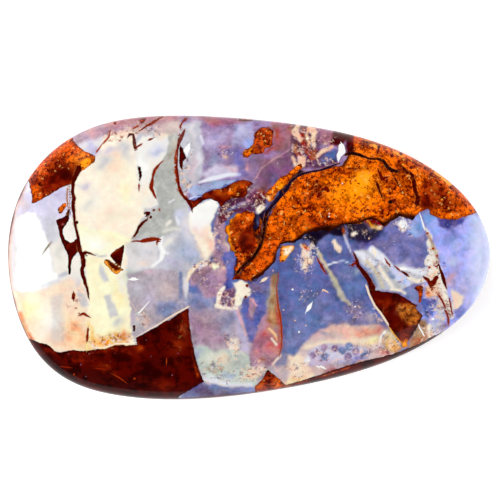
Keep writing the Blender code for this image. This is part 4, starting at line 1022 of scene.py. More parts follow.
        Bloom(T.YELLOW_ORANGE, (15.3, -8.3), (0.4, 0.3), 0.8), Bloom(T.RUST, (17.1, -3.2), (0.3, 0.4)),
        *dots(T.MAROON, 0.2, (15.8, -5.7)),
    )

    @staticmethod
    def host_level(around: np.ndarray) -> np.ndarray:
        """How high the host rock stands on the side of the stone, in millimetres.

        Args:
            around: The direction of each spot from the apex, in radians.

        Returns:
            The height of the host's top, high along the lower side and low along the upper one.
        """
        waves = (rise * np.sin(times * around + start) for rise, times, start in Ironstone.HOST_WAVES)
        return Ironstone.HOST_HEIGHT + sum(waves)


class Veins:
    """The crisp lines: dark ones that iron left in the opal, and pale ones where clear opal fills a seam."""

    DARK = (
        *strokes(T.DARK_MAROON, ([(-17, 8.9), (-17.3, 8.2), (-17.6, 7.4), (-17.65, 6.6), (-17.5, 5.9),
                 (-17.6, 5.2), (-17.5, 4.4), (-17.45, 3.6), (-17.3, 2.8), (-17.1, 2), (-17, 1.2),
                 (-16.85, 0.5), (-16.65, 0.2), (-16.6, -0.3), (-16.55, -0.8), (-16.7, -1.1), (-16.6, -1.8),
                 (-16.45, -2.3), (-16.25, -2.9), (-16.1, -3.5), (-16, -4.1)], (0.6, 0.35, 0.3, 0.4, 0.22,
                 0.28, 0.4, 0.45, 0.4, 0.32, 0.12)), ([(-16.7, 0.4), (-16.3, 0.55), (-16, 0.45),
                 (-15.5, 0.25)], (0.25, 0.22, 0.08))),
        *dots(T.DARK_MAROON, 0.4, (-17.25, 3.5), (-16.5, -0.3)),
        Stroke(T.TAN, [(-18.15, 6.9), (-18.2, 6), (-18.1, 5)], 0.12),
        Stroke(T.MOSS, [(-20.6, 0.4), (-20.4, 0.7), (-20.1, 1.1), (-19.8, 1.5)], (0.06, 0.16, 0.1)),
        Stroke(T.BURNT, [(-15.2, 10.6), (-14.7, 11.3), (-14.3, 11.7), (-14, 12.1), (-13.9, 12.6)], (0.22,
               0.1, 0.2, 0.12)),
        *dots(T.RED_BROWN, 0.35, (-13.4, 13.45)),
        *dots(T.BURNT, 0.2, (-12.7, 12.05), (-13.3, 12.4), (-12.9, 11.7), (-15.45, -8.4), (-13.1, -7.85)),
        Stroke(T.RED_BROWN, [(-11, 12.65), (-10.3, 13.1), (-9.6, 13.5), (-9, 13.9), (-8.6, 14.1)], (0.12,
               0.2, 0.28, 0.1)),
        Stroke(T.BURNT, [(-11.6, 12.9), (-11.1, 13.15)], 0.18),
        Stroke(T.DARK_MAROON, [(-12.1, 12.1), (-11.9, 12.35), (-11.6, 12.3), (-11.5, 11.9), (-11.45, 11.4),
               (-11.4, 11)], (0.15, 0.25, 0.25, 0.4, 0.3)),
        *strokes(T.RED_BROWN, ([(-11.3, 11), (-10.8, 11.3)], 0.18), ([(-10, 11.75), (-9.7, 11.9)],),
                 ([(-11, 7.2), (-11, 6.75)], (0.2, 0.1)), ([(-8.6, 9.65), (-9, 9.3), (-9.4, 8.8),
                 (-9.6, 8.2), (-9.7, 7.5), (-9.8, 7), (-9.6, 6.6), (-9.4, 6.1)], (0.08, 0.2, 0.3, 0.2, 0.38,
                 0.35, 0.2))),
        *dots(T.DARK_MAROON, 0.28, (-9.5, 4.75), (-9.8, 4.05), (-10.4, 4.45), (-18.2, 4.4)),
        *dots(T.RED_BROWN, 0.2, (-8.95, 4.8), (-17.3, -5.1), (-17, -5.6), (-5.4, -0.9), (10.2, -0.8)),
        Stroke(T.DARK_MAROON, [(-10.15, 3.8), (-10.6, 3.5), (-11.05, 3), (-11.2, 2.5), (-11.5, 2.1)], (0.15,
               0.3, 0.28, 0.18)),
        *strokes(T.RED_BROWN, ([(-11.6, 1.6), (-11.2, 1.65), (-10.8, 1.6), (-10.3, 1.75), (-9.8, 1.8),
                 (-9.1, 1.85)], (0.1, 0.2, 0.42, 0.4, 0.32)), ([(-9.15, 1.8), (-9.2, 1.45)],),
                 ([(-6.3, 13.85), (-6.6, 13.6), (-6.85, 13.2), (-6.85, 13)], (0.3, 0.15, 0.22))),
        Stroke(T.MAROON, [(-6.45, 12.7), (-6.6, 12.4), (-6.8, 12), (-7.05, 11.4), (-7.15, 10.7),
               (-7.2, 9.8), (-7.25, 9), (-7.15, 8.2), (-7.05, 7.3), (-6.85, 6.6), (-6.5, 6), (-6.1, 5.6),
               (-5.9, 5.3)], (0.2, 0.42, 0.25, 0.12, 0.2, 0.3, 0.22, 0.35, 0.2, 0.3)),
        *dots(T.BURNT, 0.3, (-7.3, 9.9), (-7.3, 8.6), (-7.2, 7.7), (-6.8, 12.1), (-6.95, 6.8), (-6.3, 6)),
        Stroke(T.BURNT, [(-7.25, 11), (-7.4, 10), (-7.42, 9), (-7.3, 8)], (0.05, 0.14, 0.1, 0.05)),
        Stroke(T.DARK_MAROON, [(-6.6, 6.2), (-6.1, 5.7), (-5.8, 5.2), (-5.7, 4.7)], (0.1, 0.35, 0.3, 0.15)),
        Stroke(T.MAROON, [(-17.55, -3.7), (-17.55, -4.05)], 0.35),
        *strokes(T.RED_BROWN, ([(-16.85, -5.75), (-16.55, -5.6), (-16, -5.9)], (0.2, 0.35, 0.15)),
                 ([(-16.1, -7.15), (-16.2, -8.3)], 0.22)),
        # Cracks in the orange band, and the crevice along its left side
        Stroke(T.NIGHT, [(9, 9.4), (8.2, 9.1), (7.2, 8.75), (6.3, 8.6), (5.4, 8.4), (4.8, 8.1), (4.2, 7.6),
               (3.8, 6.9), (3.2, 6.2), (2.4, 5.3), (1.85, 4.6)], (0.15, 0.2, 0.25, 0.4, 0.3)),
        *strokes(T.BLACK_BROWN, ([(1.85, 4.6), (1.65, 4), (1.55, 3.3), (1.45, 2.5), (1.25, 1.6),
                 (0.95, 0.8), (0.5, 0.1), (-0.1, -0.4), (-0.7, -0.9), (-1.15, -1.5)], (0.3, 0.3, 0.2, 0.35,
                 0.3, 0.2, 0.3)), ([(9.7, 10.3), (10.3, 10.4), (10.9, 10.3), (11.5, 10.1), (11.9, 9.9),
                 (12.5, 9.85), (13.1, 9.8), (13.5, 9.6), (13.8, 9.1), (14.2, 8.75), (14.8, 8.6)], (0.3,
                 0.35, 0.2, 0.25, 0.4, 0.3))),
        Stroke(T.MAROON, [(12.95, 8.7), (13.2, 8.2), (13.3, 7.8), (13.8, 8)], (0.15, 0.35, 0.3, 0.2)),
        *strokes(T.DARK_MAROON, ([(12.85, 7.3), (13.1, 6.6), (13.3, 6)], (0.35, 0.2, 0.12)), ([(16.3, 8.3),
                 (16.5, 7.5), (16.6, 6.7), (16.9, 6), (16.8, 5.4)], (0.35, 0.45, 0.35, 0.5)), ([(15.4, 9),
                 (15.8, 8.5)], (0.2, 0.4)), ([(14.6, 7.9), (14.85, 7.5)],)),
        Stroke(T.MAROON, [(13, 11.1), (12.85, 10.4)], (0.3, 0.15)),
        *dots(T.MAROON, 0.45, (7.7, 6.9), (7.1, 6.35), (6.7, 6.7)),
        *dots(T.MAROON, 0.28, (7.35, 6.8), (6.9, 6.1), (6.4, 6.3), (6.1, 5.9), (5.6, 5.7)),
        *dots(T.MAROON, 0.35, (7.9, 6.7), (14.1, 6.4), (14.5, 5.7), (14.3, 10.2), (15, 9.6), (15.2, 10.4),
              (17.6, 8.9), (16.2, 9), (18.2, 8.3), (20.2, 7), (13.8, 7.6), (6.8, 7.6)),
        *dots(T.BLACK_BROWN, 0.45, (14.15, 5.55)),
        *dots(T.MAROON, 0.2, (10.75, 9.45), (10.7, 8.85), (10.65, 7.65), (10.2, 7.4), (10.5, 4.6),
              (10.8, 4.4), (11.2, 4.65), (11.6, 4.6), (11.9, 4.75), (6, 7), (5.4, 6.4), (4.4, 5), (5, 4.2),
              (3.4, 4.8), (4.6, 6.8), (8.4, 5.2), (7.4, 5), (9, 7.9), (15.4, 6.8), (15.7, 5.2),
              (12.4, 5.4)),
        # Below the band
        Stroke(T.RED_BROWN, [(6.85, -0.1), (7.2, -0.8), (7.7, -1.6)], (0.1, 0.25, 0.1)),
        *dots(T.MAROON, 0.28, (-0.35, -3.95), (-0.2, -2.8)),
        Stroke(T.BURNT, [(3, -1.5), (2.75, -3), (2.8, -4), (2.95, -5), (3.15, -6), (3.25, -7), (3.28, -8),
               (3.22, -9), (3.05, -9.8)], (0.05, 0.1, 0.2, 0.16, 0.08)),
        *dots(T.BURNT, 0.28, (9.45, 2.7), (17.85, 2.4), (18.4, 0.9), (18.8, 0.15), (18.7, -0.85),
              (18.05, -1), (18.3, -3.2)),
        *strokes(T.RED_BROWN, ([(13.65, -0.2), (13.8, -0.5), (14.05, -0.75)], (0.1, 0.22, 0.15)),
                 ([(14.7, -1), (14.95, -1.2)], 0.18)),
        *strokes(T.DARK_MAROON, ([(15.3, -1.4), (15.6, -1.6), (15.9, -1.85)], (0.15, 0.28, 0.12)),
                 ([(10.5, 0.4), (10.75, -0.2), (10.9, -0.8), (11.5, -1.5), (12, -2.3), (12.35, -3)], (0.15,
                 0.3, 0.45, 0.5, 0.6))),
        Stroke(T.RED_BROWN, [(10.1, -0.75), (10.7, -0.6)], (0.1, 0.25)),
        Stroke(T.DARK_MAROON, [(18.95, -0.6), (19.15, -1.2), (19.4, -2), (19.7, -3)], (0.12, 0.25, 0.4,
               0.15)),
        Stroke(T.MAROON, [(17.6, -2.05), (17.9, -2.3), (18.2, -2.75), (18.4, -2.6), (18.75, -2)], (0.25,
               0.42, 0.5, 0.4)),
        *strokes(T.RED_BROWN, ([(19, -3.8), (19.3, -4.3), (19.6, -4.9)],), ([(19.7, -5.4), (19.9, -6),
                 (19.95, -6.5)], 0.25), ([(20.05, -4.2), (20.3, -5.6)], 0.16)),
    )
    PALE = (
        Stroke(T.CREAM, [(-15.3, -9.02), (-14.4, -9), (-13.3, -8.6), (-12.2, -8.6), (-11.4, -8.5)], 0.08),
        Stroke(T.PEACH_CREAM, [(-11.3, -7.95), (-10, -7.2), (-9, -6.65), (-8.2, -6.15), (-7.3, -5.6),
               (-6.1, -4.95)], (0.05, 0.1, 0.12, 0.15, 0.15)),
        Stroke(T.MILK, [(-10.95, -5.5), (-10.5, -5), (-10, -4.4)], (0.16, 0.1, 0.06)),
        Stroke(T.BLUSH_GREY, [(-12, -4.1), (-11.6, -4.8), (-11.2, -5.4)], 0.1),
        *dots(T.SEA_GLASS, 0.25, (-11.2, -5.6)), Stroke(T.MILK, [(-11.7, -2.15), (-11.4, -2.15)], 0.32),
        Stroke(T.LEMON, [(-16.2, -8.3), (-16.2, -9.2)], 0.12),
        # Specks in the maroon foot
        *dots(T.ROSE, 0.12, (-18.05, -9.65), (-16, -9.6), (-15.6, -9.5), (-13.4, -9.6), (-13.85, -10.4),
              (-10.25, -8.25), (-7.7, -11.75)),
        *dots(T.DUSK, 0.16, (-16.8, -10.7), (-16.3, -11.9), (-9.8, -9.9), (-7.1, -9.6)),
        *dots(T.BURNT, 0.24, (-10.7, -9.05), (-11.45, -12.1), (-17.5, -11.7)),
        Stroke(T.BURNT, [(-8.25, -10.2), (-8.25, -10.6)], 0.12),
        Stroke(T.RED_BROWN, [(-15.3, -11.1), (-14.2, -11.2)], (0.1, 0.16, 0.06)),
        Stroke(T.BURNT, [(-13.8, -11.6), (-13, -12), (-12.3, -12.5)], (0.04, 0.12, 0.05)),
        Stroke(T.RED_BROWN, [(-18.8, -10.9), (-17.9, -11)], 0.12),
        Stroke(T.PALE_SKY, [(-5.9, 5.9), (-5.4, 6.05), (-4.9, 6.1)], (0.2, 0.14, 0.05)),
        Stroke(T.CREAM, [(-15, 10.8), (-14.45, 11.5), (-13.8, 12)], 0.14),
        # Specks and flakes in the band and above it
        *dots(T.CREAM, 0.18, (9.35, 7.4), (8, 4.1), (8, 4.4), (-15.2, -3), (10.5, 2.3)),
        *dots(T.HONEY, 0.2, (20, 6.5), (19.3, 5.8), (15.4, 9.3), (11.8, 7.5), (11, 5.6)),
        *dots(T.MILK, 0.22, (5.85, 11.9), (4.35, -3.2), (5, -7.45), (6.85, -10.9), (6, -10.3),
              (10.6, -4.9)),
        *strokes(T.MILK, ([(-5.95, 11.4), (-6.1, 11), (-6.25, 10.7), (-6.2, 10.3)], (0.12, 0.45, 0.6,
                 0.15)), ([(9.25, 11.1), (9.3, 10.6), (9, 10.2), (8.95, 9.8)], (0.6, 0.7, 0.5, 0.25))),
        # Flecks in the slate blue
        Stroke(T.MILK, [(6.25, -4.6), (6, -5), (5.75, -5.4)], (0.15, 0.45, 0.15)),
        *dots(T.PEACH, 0.18, (5.2, -3.5), (5.3, -3.9), (5, -4.2), (4.6, -6.3), (5.7, -6.8), (10.75, -4.4),
              (6.8, -3.6), (2.4, -1.3), (11.5, 2.5), (12, 1.9), (13.5, 1), (3.45, -5.25), (7.4, -3.2)),
        Stroke(T.PEACH, [(7.4, -3.2), (7.75, -3.4)], 0.16),
        Stroke(T.PEACH_CREAM, [(1.35, -2.3), (1.7, -2.1)], 0.3),
        Stroke(T.MILK, [(7.2, -10.9), (7.5, -11.05)]),
        *dots(T.COOL_WHITE, 0.16, (14.45, 1.6), (14.5, 1.3), (19.85, 3.3), (21.15, 3.1)),
        # Beside the shard and at the narrow end
        Stroke(T.PEACH_CREAM, [(11.75, -2.9), (12.1, -3.9), (12.55, -4.8), (13.2, -5.6), (13.85, -6.6)]),
        Stroke(T.AMBER, [(14.1, -7.1), (14.6, -7.8), (15.1, -8.4)], 0.13),
        *strokes(T.MILK, ([(17.1, 4.3), (17.3, 3.7), (17.5, 3)], (0.08, 0.14, 0.18)), ([(17, -6.9),
                 (17.45, -7.7)], 0.14)),
        *dots(T.MILK, 0.3, (18.4, -6.15)), Stroke(T.CREAM, [(12.5, 0.7), (12.6, 0.4)], 0.35),
        Stroke(T.MILK, [(15.2, -1.1), (15.6, -1.15)], 0.28),
    )


class NodeBench:
    """Puts nodes into one tree and links them."""

    def __init__(self, tree: bpy.types.NodeTree) -> None:
        """Works on one tree.

        Args:
            tree: A shader tree or a geometry tree.
        """
        self.tree = tree

    def add(self, kind: str, inputs: dict | None = None, **settings: object) -> bpy.types.Node:
        """Adds a node.

        Args:
            kind: The node's type name.
            inputs: A value, or a socket to link, for each of its inputs by name or number.
            settings: The node's own settings.

        Returns:
            The node.
        """
        node = self.tree.nodes.new(kind)
        for name, value in settings.items():
            setattr(node, name, value)
        for key, value in (inputs or {}).items():
            if isinstance(value, bpy.types.NodeSocket):
                self.tree.links.new(value, node.inputs[key])
            else:
                node.inputs[key].default_value = value
        return node

    def math(self, operation: str, *values: object, clamp: bool = False) -> bpy.types.NodeSocket:
        """Adds a Math node and returns its result."""
        node = self.add("ShaderNodeMath", dict(enumerate(values)), operation=operation, use_clamp=clamp)
        return node.outputs[0]

    def vector(self, operation: str, *values: object) -> bpy.types.NodeSocket:
        """Adds a Vector Math node and returns its vector."""
        return self.add("ShaderNodeVectorMath", dict(enumerate(values)), operation=operation).outputs[0]

    def ramp(
        self, value: object, low: float, high: float, to_low: float = 0.0, to_high: float = 1.0
    ) -> bpy.types.NodeSocket:
        """Maps low..high smoothly to to_low..to_high, held at its ends, and returns the socket."""
        inputs = {"Value": value, "From Min": low, "From Max": high, "To Min": to_low, "To Max": to_high}
        return self.add("ShaderNodeMapRange", inputs, interpolation_type="SMOOTHSTEP").outputs["Result"]

    def mix(self, share: object, first: object, second: object, blend: str = "MIX") -> bpy.types.NodeSocket:
        """Adds a colour Mix node and returns its colour."""
        inputs = {0: share, 6: first, 7: second}
        return self.add("ShaderNodeMix", inputs, data_type="RGBA", blend_type=blend).outputs[2]

    def noise(
        self, place: object, scale: float, detail: float = 2.0, rough: float = 0.5
    ) -> bpy.types.NodeSocket:
        """Adds a Noise Texture and returns its value."""
        inputs = {"Vector": place, "Scale": scale, "Detail": detail, "Roughness": rough}
        return self.add("ShaderNodeTexNoise", inputs).outputs["Fac"]

    def part(self, colour: object, number: int) -> bpy.types.NodeSocket:
        """Adds a Separate Color node and returns its red, green or blue, numbered from 0."""
        return self.add("ShaderNodeSeparateColor", {0: colour}).outputs[number]

    def grey(self, colour: object) -> bpy.types.NodeSocket:
        """Adds an RGB to BW node and returns how light the colour is."""
        return self.add("ShaderNodeRGBToBW", {0: colour}).outputs[0]

    def warp(self, place: object, scale: float) -> bpy.types.NodeSocket:
        """Adds the colour of a Noise Texture to a place, so that what is laid there is bent."""
        shift = self.add("ShaderNodeTexNoise", {"Vector": place, "Scale": scale}).outputs["Color"]
        return self.vector("ADD", place, shift)

    def attribute(self, name: str) -> bpy.types.Node:
        """Adds an Attribute node that reads a named attribute of the mesh."""
        return self.add("ShaderNodeAttribute", attribute_name=name)


def new_group(name: str, inputs: dict[str, tuple[str, object]], outputs: dict[str, str]) -> tuple:
    """Makes a shader node group with named sockets.

    Args:
        name: The group's name.
        inputs: Each input's socket type and first value.
        outputs: Each output's socket type.

    Returns:
        The group, a bench on it, its input node and its output node.
    """
    group = bpy.data.node_groups.new(name, "ShaderNodeTree")
    for label, (kind, value) in inputs.items():
        socket = group.interface.new_socket(label, in_out="INPUT", socket_type=kind)
        socket.default_value = value
    for label, kind in outputs.items():
        group.interface.new_socket(label, in_out="OUTPUT", socket_type=kind)
    bench = NodeBench(group)
    return group, bench, bench.add("NodeGroupInput"), bench.add("NodeGroupOutput")


FLOAT, COLOUR, VECTOR = "NodeSocketFloat", "NodeSocketColor", "NodeSocketVector"

# Linear colours that the finish mixes with the tints
VIOLET_SHADE = (0.36, 0.30, 0.48, 1)
RUSTY_SHADE = (0.52, 0.22, 0.16, 1)
PALE_VIOLET = (0.74, 0.72, 0.82, 1)
PALE_PEACH = (0.86, 0.58, 0.42, 1)
PINKISH_SPECK = (0.72, 0.55, 0.62, 1)
DARK_SAND = (0.15, 0.02, 0.05, 1)
BRIGHT_SAND = (1.45, 1.25, 1.2, 1)
WARM_SAND = (0.97, 0.23, 0.01, 1)
YELLOW_GRIT = (0.95, 0.5, 0.12, 1)
IRON_STAIN = (0.42, 0.13, 0.03, 1)
VEIN_RUST = (0.40, 0.07, 0.005, 1)
SEAM_BLUE = (0.30, 0.28, 0.52, 1)
SEAM_WHITE = (0.72, 0.68, 0.66, 1)


def line_mask_group() -> bpy.types.NodeTree:
    """Makes the group that turns a line attribute into a crisp, ragged line and a stain beside it."""
    sockets = {"Line": (VECTOR, (5, 5, 0)), "Place": (VECTOR, (0, 0, 0)), "Ragged": (FLOAT, 0.1)}
    group, bench, given, result = new_group("line_mask", sockets, {"Mask": FLOAT, "Stain": FLOAT})
    place = given.outputs["Place"]
    parts = bench.add("ShaderNodeSeparateXYZ", {0: given.outputs["Line"]}).outputs
    sway = bench.math("SUBTRACT", bench.noise(place, 2.1, 5.0, 0.68), 0.5)
    moved = bench.math("MULTIPLY_ADD", sway, given.outputs["Ragged"], parts[0])
    beyond = bench.math("SUBTRACT", bench.math("ABSOLUTE", moved), parts[2])
    near = bench.math("LESS_THAN", bench.math("SUBTRACT", parts[1], parts[2]), 0.2)
    mask = bench.math("MULTIPLY", bench.ramp(beyond, 0.03, -0.03), near)
    patchy = bench.ramp(bench.noise(place, 1.6), 0.4, 0.62)
    stained = bench.math("MULTIPLY", bench.ramp(beyond, 0.14, 0.0), patchy)
    bench.tree.links.new(mask, result.inputs["Mask"])
    bench.tree.links.new(bench.math("MULTIPLY", stained, near), result.inputs["Stain"])
    return group


def crumb_group() -> bpy.types.NodeTree:
    """Makes the group that breaks opal into pale and dark bits, the more of them the higher Amount is."""
    sockets = {"Colour": (COLOUR, (0.5, 0.5, 0.6, 1)), "Place": (VECTOR, (0, 0, 0)), "Amount": (FLOAT, 0.0)}
    group, bench, given, result = new_group("opal_crumbs", sockets, {"Colour": COLOUR})
    place, colour, amount = (given.outputs[name] for name in ("Place", "Colour", "Amount"))
    broken = bench.ramp(amount, 0.02, 0.2)
    hue = bench.add("ShaderNodeTexNoise", {"Vector": place, "Scale": 1.3, "Detail": 3.0}).outputs["Color"]
    warmth = bench.ramp(bench.part(hue, 0), 0.42, 0.58)
    dark = bench.mix(1.0, colour, bench.mix(warmth, VIOLET_SHADE, RUSTY_SHADE), "MULTIPLY")
    pale = bench.mix(0.8, colour, bench.mix(warmth, PALE_VIOLET, PALE_PEACH))
    for offset, scale, more, tint in ((7.3, 2.3, 0.07, dark), (0.0, 2.6, 0.1, pale)):
        moved = bench.vector("ADD", place, (offset, offset, 0))
        level = bench.math("MULTIPLY_ADD", amount, more, bench.noise(moved, scale, 6.0, 0.72))
        bits = bench.math("MULTIPLY", bench.ramp(level, 0.54, 0.64, 0.0, 0.9), broken)
        colour = bench.mix(bits, colour, tint)
    bench.tree.links.new(colour, result.inputs["Colour"])
    return group


def iron_grain_group() -> bpy.types.NodeTree:
    """Makes the group for ironstone's grain: bright sand with dark grains, pits, fine cracks and yellow grit.

    Its Height is 1 on bright sand and lower where the grain is dark.
    """
    sockets = {"Colour": (COLOUR, (0.5, 0.1, 0.0, 1)), "Place": (VECTOR, (0, 0, 0)), "Grains": (FLOAT, 3.0)}
    outputs = {"Colour": COLOUR, "Height": FLOAT}
    group, bench, given, result = new_group("iron_grain", sockets, outputs)
    place, colour = given.outputs["Place"], given.outputs["Colour"]
    bent = bench.warp(place, 1.9)
    cells = bench.add("ShaderNodeTexVoronoi", {"Vector": bent, "Scale": given.outputs["Grains"]}).outputs
    tone = bench.part(cells["Color"], 0)
    middle = bench.ramp(cells["Distance"], 0.5, 0.25)
    pit = bench.math("MULTIPLY", middle, bench.math("GREATER_THAN", tone, 0.8))
    grit = bench.math("MULTIPLY", middle, bench.math("LESS_THAN", tone, 0.12))
    gaps = bench.add("ShaderNodeTexVoronoi", {"Vector": bent, "Scale": 1.2}, feature="DISTANCE_TO_EDGE")
    gap = gaps.outputs["Distance"]
    blotch = bench.noise(place, 0.75, 5.0, 0.62)
    crack = bench.math("MULTIPLY", bench.ramp(gap, 0.06, 0.0), bench.ramp(blotch, 0.56, 0.44))
    # Yellow rock, which is high in green, has fewer dark grains than red rock
    lively = bench.ramp(bench.part(colour, 1), 0.21, 0.31, 1.0, 0.12)
    elsewhere = bench.vector("ADD", place, (31.0, 17.0, 0.0))
    rough = bench.math("MULTIPLY", bench.ramp(bench.noise(elsewhere, 0.5, 3.0), 0.4, 0.58, 0.75, 1.0), lively)
    grains = bench.math("SUBTRACT", bench.ramp(bench.noise(place, 2.7, 5.0, 0.8), 0.468, 0.488), 1.0)
    light = bench.math("MULTIPLY_ADD", grains, rough, 1.0)
    shade = bench.math("MULTIPLY", bench.ramp(blotch, 0.54, 0.42, 0.0, 0.55), lively)
    light = bench.math("MULTIPLY", light, bench.math("SUBTRACT", 1.0, shade))
    for dark, loss in ((crack, -0.75), (pit, -0.9)):
        light = bench.math("MULTIPLY", light, bench.math("MULTIPLY_ADD", dark, loss, 1.0))
    # The darkest rock is smooth, with slow changes alone
    sandy = bench.ramp(bench.grey(colour), 0.015, 0.09)
    smooth = bench.ramp(blotch, 0.4, 0.58, 0.2, 1.0)
    share = bench.math("MULTIPLY_ADD", bench.math("SUBTRACT", light, smooth), sandy, smooth, clamp=True)
    lit = bench.mix(1.0, colour, bench.mix(share, DARK_SAND, BRIGHT_SAND), "MULTIPLY")
    warm = bench.math("MULTIPLY", bench.ramp(blotch, 0.5, 0.66, 0.0, 0.3), sandy)
    lit = bench.mix(warm, lit, WARM_SAND)
    lit = bench.mix(bench.math("MULTIPLY", grit, bench.math("MULTIPLY", sandy, 0.6)), lit, YELLOW_GRIT)
    bench.tree.links.new(lit, result.inputs["Colour"])
    bench.tree.links.new(bench.math("MULTIPLY", light, sandy), result.inputs["Height"])
    return group


@dataclass(frozen=True)
class PolishedOpal:
    """The stone's finish: clear polished opal, slightly duller ironstone and a ground back."""

    opal_roughness: float = 0.07
    rock_roughness: float = 0.03  # what ironstone adds to it
    ground_roughness: float = 0.5  # what grinding adds to it
    refraction: float = 1.46
    gloss: float = 0.11  # low, so that the polished shoulder doesn't mirror the pale floor
    ragged_rock: float = 0.34  # millimetres that the ironstone's edge wanders
    ragged_vein: float = 0.24
    ragged_seam: float = 0.12
    stain: float = 0.5  # how strongly iron stains the opal beside a vein
    grain_depth: float = 0.005 * MM
    grain_relief: float = 0.6

    def make(self) -> bpy.types.Material:
        """Makes the material.

        Returns:
            A material that reads the stone's attributes and its place in the stone.
        """
        material = bpy.data.materials.new("polished_opal_and_ironstone")
        material.use_nodes = True
        material.node_tree.nodes.clear()
        bench = NodeBench(material.node_tree)
        coords = bench.add("ShaderNodeTexCoord").outputs["Object"]
        place = bench.add("ShaderNodeVectorMath", {0: coords, "Scale": 1 / MM}, operation="SCALE").outputs[0]
        ground = bench.attribute("ground").outputs["Fac"]
        opal = self._opal(bench, place)
        rock, grain, rock_mask = self._rock(bench, place, ground)
        colour = bench.mix(rock_mask, opal, rock)
        colour = self._with_lines(bench, place, colour)
        rough = bench.math("MULTIPLY_ADD", rock_mask, self.rock_roughness, self.opal_roughness)
        rough = bench.math("MULTIPLY_ADD", ground, self.ground_roughness, rough, clamp=True)
        height = bench.math("MULTIPLY", grain, rock_mask)
        relief = {"Height": height, "Distance": self.grain_depth, "Strength": self.grain_relief}
        bump = bench.add("ShaderNodeBump", relief).outputs["Normal"]
        inputs = {"Base Color": colour, "Roughness": rough, "Metallic": 0.0, "IOR": self.refraction,
                  "Specular IOR Level": self.gloss, "Normal": bump}
        shader = bench.add("ShaderNodeBsdfPrincipled", inputs)
        bench.add("ShaderNodeOutputMaterial", {"Surface": shader.outputs[0]})
        return material

    def _with_lines(
        self, bench: NodeBench, place: bpy.types.NodeSocket, colour: bpy.types.NodeSocket
    ) -> bpy.types.NodeSocket:
        """The pale seams and then the dark veins, with iron stains beside the veins, over a colour."""
        line_mask = line_mask_group()
        for name, ragged in (("pale", self.ragged_seam), ("vein", self.ragged_vein)):
            mask = bench.add("ShaderNodeGroup", node_tree=line_mask)
            bench.tree.links.new(bench.attribute(f"{name}_line").outputs["Vector"], mask.inputs["Line"])
            bench.tree.links.new(place, mask.inputs["Place"])
            mask.inputs["Ragged"].default_value = ragged
            tint = bench.attribute(f"{name}_tint").outputs["Color"]
            if name == "vein":
                stain = bench.math("MULTIPLY", mask.outputs["Stain"], self.stain)
                colour = bench.mix(stain, colour, IRON_STAIN)
                rusty = bench.ramp(bench.noise(place, 2.8, 3.0), 0.56, 0.7, 0.0, 0.35)
                tint = bench.mix(rusty, tint, VEIN_RUST)
            colour = bench.mix(mask.outputs["Mask"], colour, tint)
        return colour

    def _opal(self, bench: NodeBench, place: bpy.types.NodeSocket) -> bpy.types.NodeSocket:
        """Opal: its tints with soft clouds, sparse pale specks, and crumbs where it is crumbled."""
        found = bench.attribute("opal_tint").outputs
        darkness = bench.ramp(bench.grey(found["Color"]), 0.75, 0.12, 0.12, 1.0)
        bent = bench.warp(place, 0.8)
        clouds = bench.ramp(bench.noise(bent, 0.75, 6.0, 0.62), 0.34, 0.64, -1.0, 1.0)
        flakes = bench.ramp(bench.noise(bent, 2.2, 4.0, 0.66), 0.34, 0.66, -1.0, 1.0)
        sway = bench.math("MULTIPLY_ADD", flakes, 0.5, clouds)
        value = bench.math("MULTIPLY_ADD", bench.math("MULTIPLY", sway, darkness), 0.26, 1.0)
        drift = bench.noise(place, 0.9, 4.0, 0.6)
        rich = bench.ramp(drift, 0.34, 0.66, 1.08, 0.84)
        hue = bench.math("MULTIPLY_ADD", bench.ramp(drift, 0.34, 0.66, -1.0, 1.0), 0.018, 0.5)
        inputs = {"Color": found["Color"], "Hue": hue, "Saturation": rich, "Value": value}
        opal = bench.add("ShaderNodeHueSaturation", inputs).outputs["Color"]
        dust = bench.add("ShaderNodeTexVoronoi", {"Vector": place, "Scale": 1.5}).outputs
        chosen = bench.math("LESS_THAN", bench.part(dust["Color"], 0), 0.3)
        speck = bench.math("MULTIPLY", bench.ramp(dust["Distance"], 0.1, 0.05), chosen)
        opal = bench.mix(bench.math("MULTIPLY", speck, darkness), opal, PINKISH_SPECK)
        crumbs = bench.add("ShaderNodeGroup", node_tree=crumb_group())
        for name, socket in {"Colour": opal, "Place": place, "Amount": found["Alpha"]}.items():
            bench.tree.links.new(socket, crumbs.inputs[name])
        return crumbs.outputs["Colour"]

    def _rock(self, bench: NodeBench, place: bpy.types.NodeSocket, ground: bpy.types.NodeSocket) -> tuple:
        """Ironstone: its grained colour, the height of its grain and where it shows."""
        grains = bench.add("ShaderNodeGroup", node_tree=iron_grain_group())
        bench.tree.links.new(bench.attribute("rock_tint").outputs["Color"], grains.inputs["Colour"])
        bench.tree.links.new(place, grains.inputs["Place"])
        edge = bench.attribute("rock_edge").outputs["Fac"]
        sway = bench.math("SUBTRACT", bench.noise(place, 2.2, 6.0, 0.7), 0.5)
        depth = bench.math("MULTIPLY_ADD", sway, self.ragged_rock, edge)
        mask = bench.ramp(depth, -0.03, 0.03)
        rim_dark = bench.ramp(depth, 0.02, 0.2, 0.45, 1.0)
        rock = bench.vector("SCALE", grains.outputs["Colour"])
        bench.tree.links.new(rim_dark, rock.node.inputs["Scale"])
        bent = bench.warp(place, 0.5)
        seams = bench.add("ShaderNodeTexVoronoi", {"Vector": bent, "Scale": 0.16}, feature="DISTANCE_TO_EDGE")
        width = bench.ramp(bench.noise(place, 0.4, 2.0), 0.35, 0.65, 0.0, 0.035)
        seam = bench.math("MULTIPLY", bench.math("LESS_THAN", seams.outputs["Distance"], width), ground)
        milky = bench.mix(bench.noise(place, 1.5, 3.0), SEAM_BLUE, SEAM_WHITE)
        return bench.mix(seam, rock, milky), grains.outputs["Height"], mask


